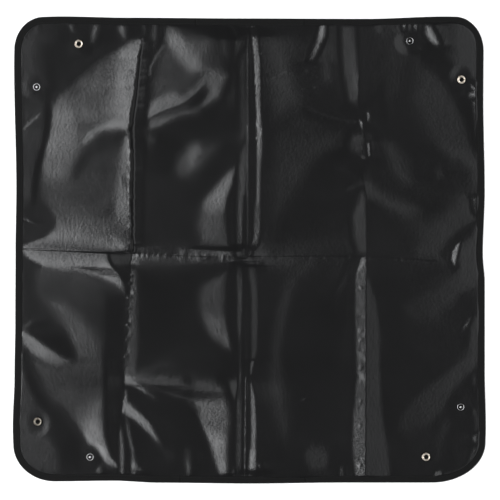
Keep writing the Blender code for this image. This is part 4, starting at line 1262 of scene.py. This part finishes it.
def stitch_piece(part, net, seed):
    """A row of lockstitches near each lip of the tape, above and below."""
    points, inward, _ = outline(TAPE_REACH - STITCH_MARGIN, STITCH_STEP)
    chance = np.random.default_rng(seed)
    verts, faces = [], []
    angles = 2 * pi * np.arange(THREAD_SIDES) / THREAD_SIDES
    for point, normal in zip(points, inward):
        if not lies_on(part, net, point):
            continue
        ahead = np.array([normal[1], -normal[0]])
        skew = chance.uniform(*STITCH_SKEW)
        ahead = ahead * cos(skew) + normal * sin(skew)
        side = np.array([-ahead[1], ahead[0]])
        length = STITCH_STEP * chance.uniform(*STITCH_LENGTH)
        for above in (True, False):
            faces += tube_faces(len(verts), THREAD_RINGS, THREAD_SIDES, True)
            for ring in range(THREAD_RINGS):
                share = ring / (THREAD_RINGS - 1)
                sunk = (2 * share - 1) ** 4
                middle = point + ahead * length * (share - 0.5)
                radius = THREAD_RADIUS * (1 - THREAD_PINCH * sunk)
                rise = THREAD_RADIUS * (1 + UNDER_RISE * sunk)
                if above:
                    rise = TAPE_TOP + THREAD_RADIUS * (THREAD_PROUD - THREAD_DIVE * sunk)
                for angle in angles:
                    place = middle + side * radius * cos(angle)
                    verts.append((*place, max(rise + radius * sin(angle), 0.0)))
    return new_mesh(f"stitches_{part}", verts, faces)


# Press fasteners


def soften(profile, closed):
    """A profile with its corners rounded, in metres."""
    corners = [np.array(point[:2], float) for point in profile]
    radii = [point[2] if len(point) > 2 else ROUND_RADIUS for point in profile]
    line = []
    for k, corner in enumerate(corners):
        if not closed and k in (0, len(corners) - 1):
            line.append(corner)
            continue
        before, after = corners[k - 1], corners[(k + 1) % len(corners)]
        back, on = before - corner, after - corner
        back_length, on_length = np.hypot(*back), np.hypot(*on)
        cut = min(radii[k], back_length * ROUND_SHARE, on_length * ROUND_SHARE)
        start, end = corner + back / back_length * cut, corner + on / on_length * cut
        for step in range(ROUND_STEPS + 1):
            t = step / ROUND_STEPS
            line.append(start * (1 - t) ** 2 + corner * 2 * t * (1 - t) + end * t * t)
    return [(radius * MM, height * MM) for radius, height in line]


def turned(name, profile, closed, at, dents=0.0, turn=0.0):
    """A piece of turned metal round an upright axis, with slight pressing marks."""
    verts, faces, rings = [], [], []
    for radius, height in soften(profile, closed):
        if radius == 0:
            rings.append([len(verts)])
            verts.append((at[0], at[1], at[2] + height))
            continue
        rings.append(list(range(len(verts), len(verts) + TURN_STEPS)))
        for step in range(TURN_STEPS):
            angle = 2 * pi * step / TURN_STEPS
            out = radius * (1 + dents * sin(3 * (angle + turn)) + dents * sin(5 * angle) / 2)
            verts.append((at[0] + out * cos(angle), at[1] + out * sin(angle), at[2] + height))
    pairs = zip(rings, rings[1:] + rings[:1] if closed else rings[1:])
    for above, below in pairs:
        for step in range(TURN_STEPS):
            beside = (step + 1) % TURN_STEPS
            if len(above) == 1:
                faces.append((above[0], below[step], below[beside]))
            elif len(below) == 1:
                faces.append((above[step], below[0], above[beside]))
            else:
                faces.append((above[step], below[step], below[beside], above[beside]))
    piece = new_mesh(name, verts, faces)
    piece.data.set_sharp_from_angle(angle=radians(SHARP_ANGLE))
    return piece


def spring_piece(name, at):
    """The open wire ring that grips the nub, with its two ends turned out."""
    verts = []
    for step in range(SPRING_STEPS + 1):
        share = step / SPRING_STEPS
        angle = SPRING_OPENING / 2 + (2 * pi - SPRING_OPENING) * share
        flare = max(0.0, abs(2 * share - 1) - SPRING_ROUND) / (1 - SPRING_ROUND)
        radius = SPRING_RADIUS + flare * SPRING_FLARE
        middle = np.array([cos(angle), sin(angle)])
        for k in range(SPRING_SIDES):
            turn = 2 * pi * k / SPRING_SIDES
            out = middle * (radius + SPRING_WIRE / 2 * cos(turn))
            verts.append((at[0] + out[0], at[1] + out[1], at[2] + SPRING_WIRE / 2 * sin(turn)))
    return new_mesh(name, verts, tube_faces(0, SPRING_STEPS + 1, SPRING_SIDES, False))


def snap_body(place):
    return "outer_left" if place[0] < 0 else "outer_right"


def paint_shade_rings(piece, place, shade, rings):
    """Paints rings of turned metal, each between two radii, dark above the cloth, as shade."""
    piece.data.materials.append(shade)
    for face in piece.data.polygons:
        away = np.hypot(face.center[0] - place[0], face.center[1] - place[1])
        in_shaded_ring = any(inner < away < outer for inner, outer in rings)
        if in_shaded_ring and face.center[2] > SEAT_TOP:
            face.material_index = 1


# Finishes


def new_node(tree, kind, sockets=None, **options):
    """A shader node, its options set, and its sockets given a value or linked to another's."""
    node = tree.nodes.new(f"ShaderNode{kind}")
    for name, value in options.items():
        setattr(node, name, value)
    for name, value in (sockets or {}).items():
        if isinstance(value, bpy.types.NodeSocket):
            tree.links.new(value, node.inputs[name])
        else:
            node.inputs[name].default_value = value
    return node


def new_finish(name, constants):
    """A material with a Principled shader and the object's own coordinates."""
    finish = bpy.data.materials.new(name)
    finish.use_nodes = True
    tree = finish.node_tree
    tree.nodes.clear()
    shader = new_node(tree, "BsdfPrincipled", constants)
    new_node(tree, "OutputMaterial", {"Surface": shader.outputs["BSDF"]})
    place = new_node(tree, "TexCoord").outputs["Object"]
    return finish, tree, shader, place


def noise(tree, place, scale, detail=4.0, distortion=0.0):
    sockets = {"Vector": place, "Scale": scale, "Detail": detail, "Distortion": distortion}
    return new_node(tree, "TexNoise", sockets).outputs["Fac"]


def threads(tree, place, pitch, direction, distortion=0.6):
    """Fine parallel threads, at this pitch in metres."""
    sockets = {"Vector": place, "Scale": pi / (10 * pitch), "Distortion": distortion}
    wave = new_node(tree, "TexWave", sockets, wave_type="BANDS", bands_direction=direction)
    return wave.outputs["Fac"]


def between_values(tree, share, low, high, from_low=0.3, from_high=0.7):
    sockets = {"Value": share, "From Min": from_low, "From Max": from_high}
    sockets.update({"To Min": low, "To Max": high})
    return new_node(tree, "MapRange", sockets).outputs["Result"]


def between_colours(tree, share, low, high, from_low=0.3, from_high=0.7):
    ramp = new_node(tree, "ValToRGB", {"Fac": share})
    first, last = ramp.color_ramp.elements
    first.position, last.position = from_low, from_high
    first.color, last.color = (*low, 1.0), (*high, 1.0)
    return ramp.outputs["Color"]


def calculated(tree, operation, first, second):
    """What this operation makes of two values, each a number or a socket."""
    return new_node(tree, "Math", {0: first, 1: second}, operation=operation).outputs["Value"]


def mixture(tree, *parts):
    """The sum of two values, each taken by its share."""
    taken = [calculated(tree, "MULTIPLY", value, share) for value, share in parts]
    return calculated(tree, "ADD", *taken)


def raised(tree, shader, height, distance, under=None):
    """Raises the shader's surface by this height times this distance, over what lies under it."""
    sockets = {"Height": height, "Distance": distance, "Strength": 1.0}
    if under is not None:
        sockets["Normal"] = under
    normal = new_node(tree, "Bump", sockets).outputs["Normal"]
    tree.links.new(normal, shader.inputs["Normal"])
    return normal


def shades(colour, spread_share):
    """A darker and a paler neighbour of a colour."""
    return [tuple(c * (1 + share) for c in colour) for share in (-spread_share, spread_share)]


def painted_shadow_rings(tree, place):
    """0 on the shadows painted round the press fasteners, and 1 elsewhere."""
    clear = 1.0
    for (_, kind), middle in SNAPS.items():
        sockets = {0: place, 1: (*middle, SEAT_TOP)}
        away = new_node(tree, "VectorMath", sockets, operation="DISTANCE").outputs["Value"]
        reach = SHADOW_RING_REACH[kind]
        beyond = between_values(tree, away, 0.0, 1.0, reach - SHADOW_RING_EDGE, reach)
        clear = calculated(tree, "MULTIPLY", clear, beyond)
    return clear


def coated_finish(settings):
    """Satin coating over a close weave: a soft sheen, faint pinholes and rub marks."""
    constants = {"Specular IOR Level": 0.5, "IOR": 1.45}
    finish, tree, shader, place = new_finish("coated_cloth", constants)
    cloudy = noise(tree, place, scale=9.0, detail=5.0, distortion=0.4)
    colour = between_colours(tree, cloudy, *shades(settings.colour, spread_share=0.18))
    # The base colour goes black close round each fastener, as a painted shadow
    sockets = {0: colour, "Scale": painted_shadow_rings(tree, place)}
    shadowed_colour = new_node(tree, "VectorMath", sockets, operation="SCALE").outputs["Vector"]
    tree.links.new(shadowed_colour, shader.inputs["Base Color"])
    rubbed = noise(tree, place, scale=60.0, detail=6.0, distortion=0.8)
    rough = settings.roughness
    mixed = mixture(tree, (rubbed, 0.6), (cloudy, 0.4))
    dull = between_values(tree, mixed, low=rough * 0.95, high=rough * 1.05)
    tree.links.new(dull, shader.inputs["Roughness"])
    warp, weft = (threads(tree, place, pitch=0.00045, direction=way) for way in ("X", "Y"))
    fine = raised(tree, shader, calculated(tree, "ADD", warp, weft), distance=0.000002)
    pores = noise(tree, place, scale=300.0, detail=3.0)
    grain = raised(tree, shader, pores, distance=0.0001, under=fine)
    dents = noise(tree, place, scale=30.0, detail=3.0, distortion=0.3)
    raised(tree, shader, dents, distance=0.00016, under=grain)
    return finish


def tape_finish(name, colour, specular):
    """Matt woven tape with ribs across it, its colour darker in the hollows of the ribs and uneven.
    """
    finish, tree, shader, place = new_finish(name, {"Specular IOR Level": specular})
    slanted = threads(tree, place, pitch=0.0011, direction="DIAGONAL", distortion=1.5)
    across = threads(tree, place, pitch=0.0007, direction="Y", distortion=1.0)
    ribs = calculated(tree, "ADD", slanted, across)
    cloudy = noise(tree, place, scale=140.0)
    mixed = mixture(tree, (ribs, 0.3), (cloudy, 0.5))
    woven = between_colours(tree, mixed, *shades(colour, spread_share=0.30), from_high=0.8)
    tree.links.new(woven, shader.inputs["Base Color"])
    dull = between_values(tree, cloudy, low=0.78, high=0.95)
    tree.links.new(dull, shader.inputs["Roughness"])
    fine = raised(tree, shader, ribs, distance=0.00006)
    raised(tree, shader, noise(tree, place, scale=900.0, detail=3.0), distance=0.00005, under=fine)
    return finish


def thread_finish(settings):
    """Matt twisted thread."""
    finish, tree, shader, place = new_finish("seam_thread", {"Specular IOR Level": 0.3})
    strands = threads(tree, place, pitch=0.0005, direction="DIAGONAL", distortion=0.3)
    twisted = between_colours(tree, strands, *shades(settings.thread_colour, spread_share=0.35))
    tree.links.new(twisted, shader.inputs["Base Color"])
    dull = between_values(tree, strands, low=0.6, high=0.8)
    tree.links.new(dull, shader.inputs["Roughness"])
    raised(tree, shader, strands, distance=0.00004)
    return finish


def metal_finish(name, colour, dark, roughness, patina):
    """Plated metal: brighter where it is rubbed, darker where tarnish sits."""
    finish, tree, shader, place = new_finish(name, {"Metallic": 1.0})
    tarnish = noise(tree, place, scale=420.0, detail=6.0, distortion=0.7)
    plated = between_colours(tree, tarnish, dark, colour, patina, patina + 0.18)
    tree.links.new(plated, shader.inputs["Base Color"])
    dull = between_values(tree, tarnish, roughness * 1.5, roughness, patina, patina + 0.2)
    tree.links.new(dull, shader.inputs["Roughness"])
    raised(tree, shader, noise(tree, place, scale=1500.0, detail=3.0), distance=0.00002)
    return finish


# Stage


def ray_is_seen(tree):
    """1 for rays of the camera, of gloss and of clear material."""
    path = new_node(tree, "LightPath")
    seen = path.outputs["Is Camera Ray"]
    for kind in ("Is Glossy Ray", "Is Transmission Ray"):
        seen = calculated(tree, "MAXIMUM", seen, path.outputs[kind])
    return seen


def floor_finish(settings):
    """Pale matt floor that keeps shadows near the mat, and is plain white further off."""
    finish = bpy.data.materials.new("pale_floor")
    finish.use_nodes = True
    tree = finish.node_tree
    tree.nodes.clear()
    place = new_node(tree, "TexCoord").outputs["Object"]
    away = new_node(tree, "VectorMath", {0: place}, operation="LENGTH").outputs["Value"]
    near = between_values(tree, away, 1.0, 0.0, *FLOOR_FADE)
    strength = between_values(tree, away, settings.floor_lift, 1.0, *FLOOR_FADE)
    seen = calculated(tree, "MULTIPLY", strength, ray_is_seen(tree))
    lift = new_node(tree, "Emission", {"Color": WHITE, "Strength": seen})
    matt = new_node(tree, "BsdfDiffuse", {"Color": (*settings.floor_colour, 1.0)})
    black = new_node(tree, "BsdfDiffuse", {"Color": BLACK})
    base = new_node(tree, "MixShader", {0: near, 1: black.outputs["BSDF"], 2: matt.outputs["BSDF"]})
    both = new_node(tree, "AddShader", {0: base.outputs["Shader"], 1: lift.outputs["Emission"]})
    new_node(tree, "OutputMaterial", {"Surface": both.outputs["Shader"]})
    return finish


def lay_floor(settings):
    half = FLOOR_WIDTH / 2
    mesh = bpy.data.meshes.new("floor")
    corners = ((-half, -half), (half, -half), (half, half), (-half, half))
    mesh.from_pydata([(x, y, -FLOOR_GAP) for x, y in corners], [], [(0, 1, 2, 3)])
    mesh.materials.append(floor_finish(settings))
    floor = bpy.data.objects.new("floor", mesh)
    bpy.context.scene.collection.objects.link(floor)


def hang_softbox(name, place, level, colour):
    """A large soft light to one side of the mat, aimed at its middle."""
    light = bpy.data.lights.new(name, "AREA")
    light.shape = "RECTANGLE"
    light.size, light.size_y = SOFTBOX_SIZE
    light.energy = level * pi * SOFTBOX_SIZE[0] * SOFTBOX_SIZE[1]
    light.color = colour
    lamp = bpy.data.objects.new(name, light)
    lamp.location = place
    lamp.rotation_euler = (0.0, float(np.arctan2(place[0], place[2])), 0.0)
    lamp.visible_camera = False
    bpy.context.scene.collection.objects.link(lamp)


def light_room(settings):
    """A dim room with a white horizon."""
    world = bpy.data.worlds.new("room")
    world.use_nodes = True
    tree = world.node_tree
    tree.nodes.clear()
    direction = new_node(tree, "TexCoord").outputs["Generated"]
    height = new_node(tree, "SeparateXYZ", {"Vector": direction}).outputs["Z"]
    strength = between_values(tree, height, 1.0, settings.room_level, *HORIZON)
    back = new_node(tree, "Background", {"Color": WHITE, "Strength": strength})
    new_node(tree, "OutputWorld", {"Surface": back.outputs["Background"]})
    bpy.context.scene.world = world


def place_camera():
    camera = bpy.data.cameras.new("camera")
    camera.sensor_width = SENSOR_WIDTH
    camera.lens = SENSOR_WIDTH * CAMERA_HEIGHT / VIEW_WIDTH
    camera.clip_end = FARTHEST_SEEN
    holder = bpy.data.objects.new("camera", camera)
    holder.location = (CAMERA_X, 0.0, CAMERA_HEIGHT)
    bpy.context.scene.collection.objects.link(holder)
    bpy.context.scene.camera = holder


# What a user sets

COLOUR_LIMITS = {"min": 0.0, "max": 1.0, "size": 3, "subtype": "COLOR"}
SHARE_LIMITS = {"min": 0.0, "max": 1.0, "subtype": "FACTOR"}


class MatClothSettings(bpy.types.PropertyGroup):
    thickness: bpy.props.FloatProperty(
        name="Thickness",
        description="Thickness of the coated cloth",
        default=0.0004,
        min=0.0002,
        max=0.0006,
        precision=4,
        unit="LENGTH",
    )
    relief: bpy.props.FloatProperty(
        name="Relief",
        description="How strongly the folds stand up, 1 as in the photograph",
        default=1.0,
        min=0.0,
        max=1.2,
        subtype="FACTOR",
    )
    seed: bpy.props.IntProperty(
        name="Seed", description="Chooses the small uneven ripples", default=5, min=0
    )
    colour: bpy.props.FloatVectorProperty(
        name="Colour",
        description="Colour of the coating",
        default=(0.0064, 0.0064, 0.0067),
        **COLOUR_LIMITS,
    )
    roughness: bpy.props.FloatProperty(
        name="Roughness",
        description="How dull the coating's shine is",
        default=0.17,
        **SHARE_LIMITS,
    )


class MatTrimSettings(bpy.types.PropertyGroup):
    tape_colour: bpy.props.FloatVectorProperty(
        name="Tape colour",
        description="Colour of the binding tape",
        default=(0.0072, 0.0072, 0.0072),
        **COLOUR_LIMITS,
    )
    # Painted shade: a darker colour for the tape round its fold
    fold_shade_colour: bpy.props.FloatVectorProperty(
        name="Fold colour",
        description="Colour of the tape where it folds over the edge",
        default=(0.0006, 0.0006, 0.0006),
        **COLOUR_LIMITS,
    )
    thread_colour: bpy.props.FloatVectorProperty(
        name="Thread colour",
        description="Colour of the stitching",
        default=(0.008, 0.008, 0.008),
        **COLOUR_LIMITS,
    )


class MatSnapSettings(bpy.types.PropertyGroup):
    socket_colour: bpy.props.FloatVectorProperty(
        name="Socket colour",
        description="Colour of the sockets' warm plating",
        default=(0.42, 0.38, 0.33),
        **COLOUR_LIMITS,
    )
    stud_colour: bpy.props.FloatVectorProperty(
        name="Stud colour",
        description="Colour of the studs' plating",
        default=(0.26, 0.26, 0.265),
        **COLOUR_LIMITS,
    )
    roughness: bpy.props.FloatProperty(
        name="Roughness",
        description="How dull the plating is",
        default=0.30,
        **SHARE_LIMITS,
    )


class MatStageSettings(bpy.types.PropertyGroup):
    floor_colour: bpy.props.FloatVectorProperty(
        name="Floor colour",
        description="Colour of the floor under the mat",
        default=(0.85, 0.85, 0.85),
        **COLOUR_LIMITS,
    )
    floor_lift: bpy.props.FloatProperty(
        name="Floor lift",
        description="How much the floor near the mat is lifted towards white",
        default=0.25,
        **SHARE_LIMITS,
    )
    softbox_level: bpy.props.FloatProperty(
        name="Softbox",
        description="Brightness of the large light to the left",
        default=9.0,
        min=0.0,
        max=40.0,
    )
    fill_level: bpy.props.FloatProperty(
        name="Fill",
        description="Brightness of the weaker light to the right",
        default=1.1,
        min=0.0,
        max=10.0,
    )
    softbox_colour: bpy.props.FloatVectorProperty(
        name="Softbox colour",
        description="Colour of both large lights",
        default=(0.97, 0.985, 1.0),
        **COLOUR_LIMITS,
    )
    room_level: bpy.props.FloatProperty(
        name="Room",
        description="Brightness of the room overhead",
        default=0.092,
        **SHARE_LIMITS,
    )


# Operators


class MAT_OT_lay_cloth(bpy.types.Operator):
    """Lay the creased cloth, in three pieces, each across one storage crease"""

    bl_idname = "mat.lay_cloth"
    bl_label = "Lay cloth"

    def execute(self, context):
        settings = context.scene.mat_cloth
        net = lay_cloth(settings.relief, settings.seed)
        finish = coated_finish(settings)
        for part, (first, second, _) in PIECES.items():
            piece = cloth_piece(part, net, settings.thickness)
            finish_piece(piece, finish)
            bend(piece, part)
            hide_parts(f"sheet_{first}", f"sheet_{second}")
        return {"FINISHED"}


class MAT_OT_bind_edge(bpy.types.Operator):
    """Fold the tape over the edge and stitch it down"""

    bl_idname = "mat.bind_edge"
    bl_label = "Bind edge"

    def execute(self, context):
        net = lay_net()
        trim = context.scene.mat_trim
        seed = context.scene.mat_cloth.seed
        tape = tape_finish("woven_tape", trim.tape_colour, specular=0.12)
        # A darker copy of the tape's finish, painted as shade on its fold
        fold = tape_finish("woven_tape_fold_shade", trim.fold_shade_colour, specular=0.0)
        makers = (
            (tape_piece, tape, "binding_tape", "binding"),
            (stitch_piece, thread_finish(trim), "seam_thread", "seam_thread"),
        )
        for part in PIECES:
            for maker, finish, slot, stem in makers:
                piece = maker(part, net, seed)
                finish_piece(piece, finish)
                if maker is tape_piece:
                    piece.data.materials.append(fold)
                bend(piece, part)
                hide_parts(*trim_nodes(stem, part))
        return {"FINISHED"}


def trim_nodes(stem, part):
    """The CAD nodes of the tape or the thread along a piece of cloth."""
    nodes = []
    for panel in PIECES[part][:2]:
        if panel.startswith("outer"):
            nodes.append(f"{stem}_{part}")
        else:
            nodes += [f"{stem}_front_{panel}", f"{stem}_back_{panel}"]
    return nodes


class MAT_OT_set_sockets(bpy.types.Operator):
    """Set the four sockets, each with its wire ring and its cap under the cloth"""

    bl_idname = "mat.set_sockets"
    bl_label = "Set sockets"

    def execute(self, context):
        settings = context.scene.mat_snaps
        # Near-black finish painted as shade in each socket's mouth and on its outer edge
        name = "antique_nickel_painted_shade"
        shade = metal_finish(name, SHADE_COLOUR, SHADE_COLOUR, roughness=0.6, patina=0.4)
        # The wire ring lies in the socket's mouth and is painted near black as shade
        wire = metal_finish("drawn_wire_painted_shade", SHADED_WIRE_COLOUR, SHADED_WIRE_DARKER, roughness=0.40, patina=0.40)
        for (corner, kind), place in SNAPS.items():
            if kind != "socket":
                continue
            colour = tuple(c * PLATING_SCALES[corner, kind] for c in settings.socket_colour)
            dark = tuple(c * share for c, share in zip(colour, SOCKET_TARNISH))
            name = f"antique_nickel_{corner}"
            plate = metal_finish(name, colour, dark, settings.roughness, patina=0.36)
            seat, cap_top = (*place, SEAT_TOP), (*place, CAP_THICK)
            cap = turned(f"{corner}_cap", CAP_PROFILE, False, cap_top)
            name, turn = f"{corner}_socket_ring", DENT_TURN * place[0]
            ring = turned(name, SOCKET_PROFILE, True, seat, SOCKET_DENTS, turn)
            spring = spring_piece(f"{corner}_wire_ring", (*place, SEAT_TOP + SPRING_HEIGHT))
            for piece, finish, slot, node in (
                (cap, plate, "socket_metal", f"{corner}_socket_cap"),
                (ring, plate, "socket_metal", f"{corner}_socket"),
                (spring, wire, "spring_wire", f"{corner}_socket_spring"),
            ):
                finish_piece(piece, finish)
                if piece is not spring:
                    paint_shade_rings(piece, place, shade, SOCKET_SHADE)
                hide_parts(node)
                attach(piece, snap_body(place))
        return {"FINISHED"}


class MAT_OT_set_studs(bpy.types.Operator):
    """Set the four studs, each with its eyelet under the cloth"""

    bl_idname = "mat.set_studs"
    bl_label = "Set studs"

    def execute(self, context):
        settings = context.scene.mat_snaps
        # Near-black finish painted as shade round each stud's nub and on its outer edge
        name = "nickel_painted_shade"
        shade = metal_finish(name, SHADE_COLOUR, SHADE_COLOUR, roughness=0.6, patina=0.4)
        for (corner, kind), place in SNAPS.items():
            if kind != "stud":
                continue
            colour = tuple(c * PLATING_SCALES[corner, kind] for c in settings.stud_colour)
            dark = tuple(c * share for c, share in zip(colour, STUD_TARNISH))
            name = f"nickel_{corner}"
            plate = metal_finish(name, colour, dark, settings.roughness, patina=0.34)
            seat, eyelet_top = (*place, SEAT_TOP), (*place, CAP_THICK)
            eyelet = turned(f"{corner}_eyelet", EYELET_PROFILE, True, eyelet_top)
            stud = turned(f"{corner}_nub", STUD_PROFILE, False, seat, STUD_DENTS)
            for piece, node in (
                (eyelet, f"{corner}_stud_eyelet"),
                (stud, f"{corner}_stud"),
            ):
                finish_piece(piece, plate)
                paint_shade_rings(piece, place, shade, STUD_SHADE)
                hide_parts(node)
                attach(piece, snap_body(place))
        return {"FINISHED"}


class MAT_OT_studio(bpy.types.Operator):
    """Put the mat on a pale floor, under one large soft light and the overhead camera"""

    bl_idname = "mat.studio"
    bl_label = "Studio"

    def execute(self, context):
        settings = context.scene.mat_stage
        lay_floor(settings)
        hang_softbox("softbox", SOFTBOX_PLACE, settings.softbox_level, settings.softbox_colour)
        hang_softbox("fill", FILL_PLACE, settings.fill_level, settings.softbox_colour)
        light_room(settings)
        place_camera()
        context.scene.view_settings.view_transform = "Standard"
        return {"FINISHED"}


# Panel


class MAT_PT_panel(bpy.types.Panel):
    """Lists the mat's pieces and what can be set on each"""

    bl_idname = "MAT_PT_panel"
    bl_label = "Repotting mat"
    bl_space_type = "VIEW_3D"
    bl_region_type = "UI"
    bl_category = "Repotting mat"

    def draw(self, context):
        scene = context.scene
        groups = (
            (scene.mat_cloth, (MAT_OT_lay_cloth,)),
            (scene.mat_trim, (MAT_OT_bind_edge,)),
            (scene.mat_snaps, (MAT_OT_set_sockets, MAT_OT_set_studs)),
            (scene.mat_stage, (MAT_OT_studio,)),
        )
        for settings, operators in groups:
            box = self.layout.box()
            for name in settings.__annotations__:
                box.prop(settings, name)
            for operator in operators:
                box.operator(operator.bl_idname)


SETTINGS = {
    "mat_cloth": MatClothSettings,
    "mat_trim": MatTrimSettings,
    "mat_snaps": MatSnapSettings,
    "mat_stage": MatStageSettings,
}
OPERATORS = (
    MAT_OT_lay_cloth,
    MAT_OT_bind_edge,
    MAT_OT_set_sockets,
    MAT_OT_set_studs,
    MAT_OT_studio,
)
CLASSES = (*SETTINGS.values(), *OPERATORS, MAT_PT_panel)


def register():
    for item in CLASSES:
        bpy.utils.register_class(item)
    for name, group in SETTINGS.items():
        setattr(bpy.types.Scene, name, bpy.props.PointerProperty(type=group))


def unregister():
    for name in SETTINGS:
        delattr(bpy.types.Scene, name)
    for item in reversed(CLASSES):
        bpy.utils.unregister_class(item)


def main():
    register()
    bpy.ops.mat.lay_cloth()
    bpy.ops.mat.bind_edge()
    bpy.ops.mat.set_sockets()
    bpy.ops.mat.set_studs()
    bpy.ops.mat.studio()


if __name__ == "__main__":
    main()
